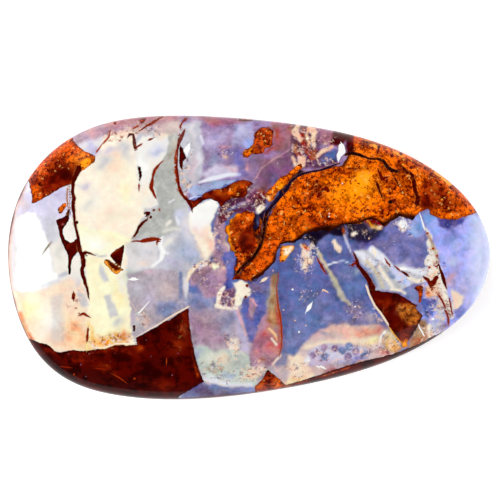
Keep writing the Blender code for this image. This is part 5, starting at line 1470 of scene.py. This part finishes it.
def smooth_loop(points: Path, count: int) -> np.ndarray:
    """Reads a closed cubic spline at even spacing.

    Args:
        points: What the spline goes through, in order.
        count: How many positions to read.

    Returns:
        The positions, one row each.
    """
    knots = np.array(points, float)
    size = len(knots)
    gap = np.linalg.norm(np.roll(knots, -1, 0) - knots, axis=1)
    before = np.roll(gap, 1)
    system, wanted = np.zeros((size, size)), np.zeros((size, 2))
    for i in range(size):
        after = (i + 1) % size
        system[i, i - 1], system[i, i], system[i, after] = gap[i], 2 * (gap[i] + before[i]), before[i]
        ahead, behind = (knots[after] - knots[i]) / gap[i], (knots[i] - knots[i - 1]) / before[i]
        wanted[i] = 3 * (before[i] * ahead + gap[i] * behind)
    slope = np.linalg.solve(system, wanted)
    start = np.concatenate([[0], np.cumsum(gap)])
    along = np.linspace(0, start[-1], count, endpoint=False)
    i = np.searchsorted(start, along, side="right") - 1
    after = (i + 1) % size
    reach, w = gap[i][:, None], ((along - start[i]) / gap[i])[:, None]
    ends = (2 * w**3 - 3 * w**2 + 1) * knots[i] + (3 * w**2 - 2 * w**3) * knots[after]
    return ends + reach * ((w**3 - 2 * w**2 + w) * slope[i] + (w**3 - w**2) * slope[after])


@dataclass(frozen=True)
class Crown:
    """The dome: a grid bent onto the rim by a rule, in a Geometry Nodes tree.

    Attributes:
        girdle_top: Where the dome starts, in millimetres over the back.
        thickness: How high the apex is, in millimetres over the back.
        shoulder: How late the dome falls towards the rim.
        steepness: How steeply it meets the rim.
        apex: The apex in plan.
        reach: How far from the apex to the rim the grid goes; the shoulder past it is added in rings.
        columns: How many points the grid has along x.
        rows: How many it has along y.
    """

    girdle_top: float = 2.2
    thickness: float = 7.0
    shoulder: float = 2.2
    steepness: float = 2.2
    apex: Point = (-3.0, 0.0)
    reach: float = 0.985
    columns: int = 361
    rows: int = 215

    def rise(self, share: np.ndarray | float) -> np.ndarray | float:
        """The dome's height over the back in millimetres, by the share of the way from apex to rim."""
        return self.girdle_top + (self.thickness - self.girdle_top) * (1 - share**self.shoulder) ** (
            1 / self.steepness
        )

    def tree(self) -> tuple[bpy.types.NodeTree, dict[str, str]]:
        """Builds the tree.

        Returns:
            The tree and each input's identifier by its name.
        """
        tree = bpy.data.node_groups.new("dome_over_a_rim", "GeometryNodeTree")
        kinds = {"Rim": "NodeSocketObject", "Columns": "NodeSocketInt", "Rows": "NodeSocketInt",
                 "Apex": VECTOR, "Girdle Top": FLOAT, "Thickness": FLOAT, "Shoulder": FLOAT,
                 "Steepness": FLOAT, "Reach": FLOAT, "Stone": "NodeSocketMaterial"}
        new_socket = tree.interface.new_socket
        found = {name: new_socket(name, in_out="INPUT", socket_type=kind).identifier
                 for name, kind in kinds.items()}
        new_socket("Geometry", in_out="OUTPUT", socket_type="NodeSocketGeometry")
        bench = NodeBench(tree)
        given = bench.add("NodeGroupInput").outputs
        sizes = {"Size X": 2.0, "Size Y": 2.0, "Vertices X": given["Columns"], "Vertices Y": given["Rows"]}
        grid = bench.add("GeometryNodeMeshGrid", sizes).outputs["Mesh"]
        spot = bench.add("GeometryNodeInputPosition").outputs[0]
        u, v = bench.add("ShaderNodeSeparateXYZ", {0: spot}).outputs[:2]

        def onto_disc(one: object, other: object) -> bpy.types.NodeSocket:
            """Squeezes one side of the square onto the disc."""
            squared = bench.math("POWER", bench.math("ABSOLUTE", other), 2.0)
            shrink = bench.math("SQRT", bench.math("MULTIPLY_ADD", squared, -0.5, 1.0))
            return bench.math("MULTIPLY", one, shrink)

        a, b = onto_disc(u, v), onto_disc(v, u)
        squares = [bench.math("MULTIPLY", side, side) for side in (a, b)]
        share = bench.math("MULTIPLY", bench.math("SQRT", bench.math("ADD", *squares)), given["Reach"])
        turn = bench.math("DIVIDE", bench.math("ARCTAN2", b, a), 2 * math.pi)
        factor = bench.math("FLOORED_MODULO", turn, 1.0)
        rim = bench.add("GeometryNodeObjectInfo", {"Object": given["Rim"]}).outputs["Geometry"]
        sample = bench.add("GeometryNodeSampleCurve", {"Curves": rim, "Factor": factor}, mode="FACTOR")
        out = bench.vector("SUBTRACT", sample.outputs["Position"], given["Apex"])
        plan = bench.add("ShaderNodeVectorMath", {0: out, "Scale": share}, operation="SCALE").outputs[0]
        fall = bench.math("SUBTRACT", 1.0, bench.math("POWER", share, given["Shoulder"]))
        rise = bench.math("POWER", fall, bench.math("DIVIDE", 1.0, given["Steepness"]))
        crown = bench.math("SUBTRACT", given["Thickness"], given["Girdle Top"])
        height = bench.math("MULTIPLY_ADD", rise, crown, given["Girdle Top"])
        lift = bench.add("ShaderNodeCombineXYZ", {"Z": height}).outputs[0]
        position = bench.vector("ADD", bench.vector("ADD", plan, given["Apex"]), lift)
        dome = bench.add("GeometryNodeSetPosition", {"Geometry": grid, "Position": position}).outputs[0]
        real = bench.add("GeometryNodeRealizeInstances", {"Geometry": dome}).outputs[0]
        stone = bench.add("GeometryNodeSetMaterial", {"Geometry": real, "Material": given["Stone"]})
        bench.add("NodeGroupOutput", {"Geometry": stone.outputs[0]})
        return tree, found

    def mesh(self, rim: np.ndarray, finish: bpy.types.Material) -> bpy.types.Mesh:
        """Bends the grid over a rim.

        Args:
            rim: The rim's positions in millimetres, anticlockwise.
            finish: The stone's material.

        Returns:
            A plain mesh of the dome, in metres.
        """
        curve = bpy.data.curves.new("rim_line", "CURVE")
        curve.dimensions = "3D"
        line = curve.splines.new("POLY")
        line.points.add(len(rim) - 1)
        flat, ones = np.zeros(len(rim)), np.ones(len(rim))
        line.points.foreach_set("co", np.column_stack([rim * MM, flat, ones]).ravel())
        line.use_cyclic_u = True
        guide = bpy.data.objects.new("rim_guide", curve)
        empty_mesh = bpy.data.meshes.new("crown_carrier")
        carrier = bpy.data.objects.new("crown_carrier", empty_mesh)
        for made in (guide, carrier):
            bpy.context.scene.collection.objects.link(made)
        tree, found = self.tree()
        modifier = carrier.modifiers.new("dome_over_a_rim", "NODES")
        modifier.node_group = tree
        values = {"Rim": guide, "Columns": self.columns, "Rows": self.rows,
                  "Apex": (self.apex[0] * MM, self.apex[1] * MM, 0.0), "Girdle Top": self.girdle_top * MM,
                  "Thickness": self.thickness * MM, "Shoulder": self.shoulder, "Steepness": self.steepness,
                  "Reach": self.reach, "Stone": finish}
        for name, value in values.items():
            modifier[found[name]] = value
        graph = bpy.context.evaluated_depsgraph_get()
        mesh = bpy.data.meshes.new_from_object(carrier.evaluated_get(graph), depsgraph=graph)
        carrier.modifiers.remove(modifier)
        bpy.data.objects.remove(carrier)
        bpy.data.objects.remove(guide)
        bpy.data.meshes.remove(empty_mesh)
        bpy.data.curves.remove(curve)
        return mesh


@dataclass
class Cabochon:
    """The whole stone: its crown, side and back as one closed mesh, with its pattern and its finish."""

    length: float = 48.2
    width: float = 28.4
    back_edge_width: float = 0.9
    back_edge_height: float = 1.4
    rim_points: Path = (
        (24.1, 0.5), (22.95, 4.3), (19.1, 8.35), (13.1, 11.45), (5.1, 13.3), (-2.9, 14.1), (-9.9, 14.15),
        (-15.9, 12.95), (-20.9, 9.4), (-23.55, 4.4), (-24.05, -0.6), (-23.0, -6.0), (-21.25, -9.45),
        (-18.6, -11.95), (-12.9, -13.85), (-5.9, -14.2), (3.1, -13.2), (12.1, -11.05), (19.1, -7.7),
        (23.15, -3.5),
    )
    rim_samples: int = 1440
    shoulder_rings: int = 5
    girdle_rings: int = 3
    back_edge_rings: int = 6
    back_thinnings: int = 2  # how often the back's rings halve their points
    back_shrink: Point = (0.82, 0.72)  # the size of each such ring against the one before, along and across
    side_pull: float = 0.5  # millimetres inwards at which the side's pattern is read, for each one down
    ground_below: float = 0.02  # millimetres
    crown: Crown = Crown()
    finish: PolishedOpal = PolishedOpal()

    def rim(self) -> np.ndarray:
        """The rim in millimetres, with the middle of its box at the origin."""
        loop = smooth_loop(self.rim_points, self.rim_samples)
        low, high = loop.min(0), loop.max(0)
        return (loop - (low + high) / 2) / (high - low) * np.array([self.length, self.width])

    def _rings(self, edge: np.ndarray) -> list[tuple[np.ndarray, np.ndarray, float]]:
        """The rings below the crown's grid, from the shoulder down to the back.

        Args:
            edge: The plan positions of the crown's edge, anticlockwise.

        Returns:
            For each ring its plan, the plan whose pattern it shows, and its height.
        """
        crown, apex = self.crown, np.array(self.crown.apex)
        out = (edge - apex) / crown.reach
        rim = apex + out
        run = np.roll(rim, -1, 0) - np.roll(rim, 1, 0)
        inward = np.stack([-run[:, 1], run[:, 0]], 1)
        inward /= np.linalg.norm(inward, axis=1)[:, None]
        rings = []
        top = crown.rise(crown.reach) - crown.girdle_top
        for step in range(1, self.shoulder_rings + 1):
            lift = top * (1 - step / self.shoulder_rings)
            fall = (lift / (crown.thickness - crown.girdle_top)) ** crown.steepness
            plan = apex + out * (1 - fall) ** (1 / crown.shoulder)
            rings.append((plan, plan, crown.girdle_top + lift))
        for step in range(1, self.girdle_rings + 1):
            height = crown.girdle_top + (self.back_edge_height - crown.girdle_top) * step / self.girdle_rings
            rings.append((rim, rim + inward * self.side_pull * (crown.girdle_top - height), height))
        for step in range(1, self.back_edge_rings + 1):
            turn = (1 - step / self.back_edge_rings) * math.pi / 2
            inset = self.back_edge_width * (1 - math.sin(turn))
            height = self.back_edge_height * (1 - math.cos(turn))
            shown = rim + inward * self.side_pull * (crown.girdle_top - height)
            rings.append((rim + inward * inset, shown, height))
        return rings

    def _mapped(self, plan: np.ndarray) -> np.ndarray:
        """Where plan positions of the crown lie on the stone's map, from 0 to 1."""
        scale = (1 - 2 * BakeMap.MARGIN) / self.length
        return np.stack([(plan[:, 0] + self.length / 2) * scale + BakeMap.MARGIN,
                         1 - BakeMap.MARGIN - (self.width / 2 - plan[:, 1]) * scale], 1)

    def build(self) -> bpy.types.Object:
        """Builds the stone, lays its pattern and dresses it.

        Returns:
            The stone's object, at the origin.
        """
        finish = self.finish.make()
        dome = self.crown.mesh(self.rim(), finish)
        points = np.empty(len(dome.vertices) * 3)
        dome.vertices.foreach_get("co", points)
        points = points.reshape(-1, 3) / MM
        corners = np.empty(len(dome.loops), int)
        dome.loops.foreach_get("vertex_index", corners)
        quads = corners.reshape(-1, 4)
        plan_map = self._mapped(points[:, :2])
        sheet = BakeMap(plan_map[quads], self.shoulder_rings + self.girdle_rings + self.back_edge_rings)
        shown = self._seen_from_above(points)
        edge = self._edge_of(quads, points)
        positions, faces, shown_all, grounds = [points], [quads], [shown], [np.zeros(len(points))]
        last, first_new = edge, len(points)
        ring_count, count = 0, len(edge)
        for plan, pattern, height in self._rings(points[edge, :2]):
            new = np.arange(first_new, first_new + count)
            ring = np.column_stack([plan, np.full(count, height)])
            positions.append(ring)
            shown_all.append(self._seen_from_above(ring) if height >= self.crown.girdle_top else pattern)
            grounds.append(np.full(count, float(height < self.ground_below)))
            faces.append(np.column_stack([last, new, np.roll(new, -1), np.roll(last, -1)]))
            sheet.add_strip(count, ring_count)
            last, first_new, ring_count = new, first_new + count, ring_count + 1
        mesh = self._close(positions, faces, last, sheet)
        bpy.data.meshes.remove(dome)
        count_back = len(mesh.vertices) - sum(map(len, shown_all))
        shown_all.append(np.zeros((count_back, 2)))
        grounds.append(np.ones(count_back))
        self._paint(mesh, np.concatenate(shown_all), np.concatenate(grounds))
        mesh.materials.append(finish)
        mesh.shade_smooth()
        stone = bpy.data.objects.new("opal_cabochon_dressed", mesh)
        bpy.context.scene.collection.objects.link(stone)
        return stone

    def _seen_from_above(self, points: np.ndarray) -> np.ndarray:
        """The plan positions at which the camera sees points of the crown."""
        closer = Studio.CAMERA_DISTANCE / (Studio.CAMERA_DISTANCE - (points[:, 2] - self.crown.girdle_top))
        middle = np.array(Studio.CAMERA_PLAN)
        return middle + (points[:, :2] - middle) * closer[:, None]

    def _edge_of(self, quads: np.ndarray, points: np.ndarray) -> np.ndarray:
        """The crown's edge points in order, anticlockwise round the apex."""
        sides = np.sort(np.concatenate([quads[:, [i, (i + 1) % 4]] for i in range(4)]), axis=1)
        found, times = np.unique(sides, axis=0, return_counts=True)
        edge = np.unique(found[times == 1])
        x, y = (points[edge, :2] - np.array(self.crown.apex)).T
        return edge[np.argsort(np.arctan2(y, x))]

    def _close(self, positions: list, faces: list, last: np.ndarray, sheet: "BakeMap") -> bpy.types.Mesh:
        """Closes the back with rings that halve their points, and makes the mesh.

        Args:
            positions: The points so far, a block for each ring.
            faces: The quads so far, a block for each ring.
            last: The lowest ring's points, anticlockwise.
            sheet: The map of every corner so far.

        Returns:
            The closed mesh, in metres, with its map.
        """
        all_points = np.concatenate(positions)
        polygons = np.concatenate(faces).tolist()
        back = [all_points]
        total, ring = len(all_points), last
        ring_points = all_points[last]
        for _ in range(self.back_thinnings):
            inner_points = ring_points[::2] * np.array([*self.back_shrink, 1])
            inner = np.arange(total, total + len(inner_points))
            after, two = np.roll(inner, -1), len(ring)
            for i, (one, following) in enumerate(zip(inner.tolist(), after.tolist(), strict=True)):
                left, mid, right = (int(ring[(2 * i + k) % two]) for k in range(3))
                polygons += [[left, one, mid], [mid, one, following], [mid, following, right]]
            back.append(inner_points)
            total, ring, ring_points = total + len(inner), inner, inner_points
        polygons += [[int(ring[i]), total, int(ring[(i + 1) % len(ring)])] for i in range(len(ring))]
        back.append(np.array([[0.0, 0.0, 0.0]]))
        every = np.concatenate(back)
        mesh = bpy.data.meshes.new("opal_cabochon_dressed")
        mesh.from_pydata(every * MM, [], polygons)
        sheet.add_back(every, polygons[sum(map(len, faces)) :], self.length, self.width)
        sheet.write(mesh)
        return mesh

    def _paint(self, mesh: bpy.types.Mesh, shown: np.ndarray, ground: np.ndarray) -> None:
        """Lays the pattern and keeps it as attributes of the mesh.

        Args:
            mesh: The closed mesh.
            shown: The plan position whose pattern each point shows.
            ground: 1 on the ground back, 0 elsewhere.
        """
        surface = Surface(shown)
        for area in OpalTints.IN_ORDER:
            surface.tint_opal(area)
        surface.break_up(OpalTints.CRUMBLED)
        surface.add_ironstone(Ironstone.PIECES)
        surface.tint_ironstone(Ironstone.TINTS)
        surface.draw("vein", Veins.DARK)
        surface.draw("pale", Veins.PALE)
        heights = np.empty(len(mesh.vertices) * 3)
        mesh.vertices.foreach_get("co", heights)
        x, y, z = heights.reshape(-1, 3).T / MM
        around = np.arctan2(y - self.crown.apex[1], x - self.crown.apex[0])
        level = np.where(ground > 0, Ironstone.OVER_THE_BACK, Ironstone.host_level(around))
        surface.sink_in_host(level, z)

        def keep(name: str, kind: str, field: str, values: np.ndarray) -> None:
            """Keeps one value for each point of the mesh as a named attribute."""
            mesh.attributes.new(name, kind, "POINT").data.foreach_set(field, values.ravel())

        colours = {"opal_tint": surface.opal, "rock_tint": surface.rock,
                   "pale_tint": surface.line_tints["pale"], "vein_tint": surface.line_tints["vein"]}
        for name, srgb in colours.items():
            held = np.ones((len(srgb), 4))
            held[:, :3] = to_linear(srgb) / Studio.BRIGHTNESS
            if name == "opal_tint":
                held[:, 3] = surface.crumble
            keep(name, "FLOAT_COLOR", "color", held)
        for name, line in surface.lines.items():
            keep(f"{name}_line", "FLOAT_VECTOR", "vector", line)
        for name, values in {"rock_edge": surface.rock_edge, "ground": ground}.items():
            keep(name, "FLOAT", "value", values)


class BakeMap:
    """The stone's own map: the crown in plan at the top, the side in strips under it, then the back."""

    NAME = "OFBake"
    MARGIN = 0.004
    STRIPS = 3  # how many lengths the side is cut into
    STRIP_TOP = 0.395
    STRIP_HEIGHT = 0.07
    STRIP_GAP = 0.008
    BACK_TOP = 0.15
    BACK_HEIGHT = 0.145

    def __init__(self, crown: np.ndarray, rings: int) -> None:
        """Starts with the crown.

        Args:
            crown: Where each corner of each of the crown's quads lies, from 0 to 1.
            rings: How many rings of quads the side has.
        """
        self.blocks = [crown.reshape(-1, 2)]
        self.rings = rings

    def add_strip(self, count: int, ring: int) -> None:
        """Adds one ring of quads of the side.

        Args:
            count: How many quads the ring has.
            ring: Its number from the top.
        """
        each = math.ceil(count / self.STRIPS)
        strip, step = np.divmod(np.arange(count), each)
        left = self.MARGIN + step / each * (1 - 2 * self.MARGIN)
        right = left + (1 - 2 * self.MARGIN) / each
        top = self.STRIP_TOP - strip * (self.STRIP_HEIGHT + self.STRIP_GAP)
        upper = top - ring / self.rings * self.STRIP_HEIGHT
        lower = top - (ring + 1) / self.rings * self.STRIP_HEIGHT
        corners = [(left, upper), (left, lower), (right, lower), (right, upper)]
        self.blocks.append(np.stack([np.stack(c, 1) for c in corners], 1).reshape(-1, 2))

    def add_back(self, points: np.ndarray, triangles: list, length: float, width: float) -> None:
        """Adds the back's triangles, seen from below."""
        plan = points[np.array(triangles).ravel(), :2]
        scale = self.BACK_HEIGHT / width
        u = self.MARGIN + (length / 2 - plan[:, 0]) * scale
        v = self.BACK_TOP - (width / 2 - plan[:, 1]) * scale
        self.blocks.append(np.stack([u, v], 1))

    def write(self, mesh: bpy.types.Mesh) -> None:
        """Writes the map to a mesh whose faces come in the order of the blocks."""
        layer = mesh.uv_layers.new(name=self.NAME)
        layer.data.foreach_set("uv", np.concatenate(self.blocks).ravel())


@dataclass(frozen=True)
class Softbox:
    """A square lamp turned towards the stone.

    Attributes:
        name: The lamp's name.
        around: Its direction from the stone in degrees, 0 at the narrow end and 90 above it in the picture.
        up: How high it stands, in degrees above the horizon.
        watts: Its power.
        side: The length of its side in metres.
        away: Its distance from the stone in metres.
    """

    name: str
    around: float
    up: float
    watts: float
    side: float = 0.4
    away: float = 0.55

    def place(self) -> None:
        """Puts the lamp into the scene."""
        light = bpy.data.lights.new(self.name, "AREA")
        light.energy, light.size = self.watts, self.side
        lamp = bpy.data.objects.new(self.name, light)
        turn, up = math.radians(self.around), math.radians(self.up)
        lamp.location = (self.away * math.cos(up) * math.cos(turn), self.away * math.cos(up) * math.sin(turn),
                         self.away * math.sin(up))
        lamp.rotation_euler = (math.pi / 2 - up, 0, turn + math.pi / 2)
        bpy.context.scene.collection.objects.link(lamp)


@dataclass
class Studio:
    """A pale floor, soft lamps all round and a camera straight above the stone."""

    CAMERA_PLAN = (0.1, 0.75)  # millimetres
    CAMERA_DISTANCE = 347.0  # millimetres above the rim
    FRAME_WIDTH = 50.0  # millimetres seen across at the rim
    BRIGHTNESS = 1.12  # how bright a white card on the floor is

    floor_size: float = 3.0
    floor_glow: float = 0.5  # the paper is lit from below a little, so that the stone drops no grey shadow
    floor_white: float = 0.93
    horizon_glow: float = 0.15
    zenith_glow: float = 0.02
    clip: Point = (0.01, 20.0)  # the nearest and the farthest that the camera sees, in metres
    lamps: tuple[Softbox, ...] = (
        Softbox("softbox_left", 184, 34, 2.9, 0.32),
        Softbox("softbox_right", 0, 30, 1.9, 0.3),
        Softbox("softbox_top", 108, 26, 1.3, 0.36),
        Softbox("softbox_bottom", 305, 20, 1.0, 0.36),
    )

    def lay_floor(self) -> bpy.types.Object:
        """Lays the floor."""
        half = self.floor_size / 2
        mesh = bpy.data.meshes.new("pale_floor")
        corners = [(-half, -half, 0), (half, -half, 0), (half, half, 0), (-half, half, 0)]
        mesh.from_pydata(corners, [], [(0, 1, 2, 3)])
        material = bpy.data.materials.new("pale_paper")
        material.use_nodes = True
        bench = NodeBench(material.node_tree)
        shader = material.node_tree.nodes["Principled BSDF"]
        coords = bench.add("ShaderNodeTexCoord").outputs["Object"]
        fibre = bench.ramp(bench.noise(coords, 900.0, 3.0), 0.3, 0.7, 0.55, 0.65)
        bench.tree.links.new(fibre, shader.inputs["Roughness"])
        shader.inputs["Base Color"].default_value = (*[self.floor_white] * 3, 1)
        shader.inputs["Specular IOR Level"].default_value = 0.2
        shader.inputs["Emission Color"].default_value = (1, 1, 1, 1)
        shader.inputs["Emission Strength"].default_value = self.floor_glow
        mesh.materials.append(material)
        floor = bpy.data.objects.new("pale_floor", mesh)
        bpy.context.scene.collection.objects.link(floor)
        return floor

    def light(self) -> None:
        """Places the lamps and a sky that is pale at the horizon and dark overhead."""
        for lamp in self.lamps:
            lamp.place()
        world = bpy.data.worlds.new("studio_air")
        world.use_nodes = True
        world.node_tree.nodes.clear()
        bench = NodeBench(world.node_tree)
        looked_at = bench.add("ShaderNodeTexCoord").outputs["Generated"]
        up = bench.add("ShaderNodeSeparateXYZ", {0: looked_at}).outputs[2]
        strength = bench.ramp(up, 0.1, 0.6, self.horizon_glow, self.zenith_glow)
        seen = bench.add("ShaderNodeLightPath").outputs["Is Camera Ray"]
        strength = bench.math("MAXIMUM", strength, seen)
        back = bench.add("ShaderNodeBackground", {"Color": (1, 1, 1, 1), "Strength": strength})
        bench.add("ShaderNodeOutputWorld", {"Surface": back.outputs[0]})
        bpy.context.scene.world = world
        bpy.context.scene.view_settings.view_transform = "Standard"

    def set_camera(self, rim_height: float) -> None:
        """Looks straight down at the stone, as the photograph does.

        Args:
            rim_height: The height of the stone's widest outline, in millimetres.
        """
        data = bpy.data.cameras.new("camera")
        data.sensor_width = 36.0
        data.lens = data.sensor_width * self.CAMERA_DISTANCE / self.FRAME_WIDTH
        data.clip_start, data.clip_end = self.clip
        camera = bpy.data.objects.new("camera", data)
        camera.location = (self.CAMERA_PLAN[0] * MM, self.CAMERA_PLAN[1] * MM,
                           (self.CAMERA_DISTANCE + rim_height) * MM)
        bpy.context.scene.collection.objects.link(camera)
        bpy.context.scene.camera = camera


def main() -> None:
    """Builds the stone and its studio, and reports each piece."""
    logging.basicConfig(level=logging.INFO, format="%(name)s: %(message)s", stream=sys.stdout)
    cabochon = Cabochon()
    stone = cabochon.build()
    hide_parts("opal_cabochon")
    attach(stone, "root")
    log.info("%s: %d faces, %d attributes", stone.name, len(stone.data.polygons), len(stone.data.attributes))
    studio = Studio()
    studio.lay_floor()
    studio.light()
    studio.set_camera(cabochon.crown.girdle_top)
    log.info("studio: %d lamps", len(studio.lamps))
    log.info("sizes written")


if __name__ == "__main__":
    main()
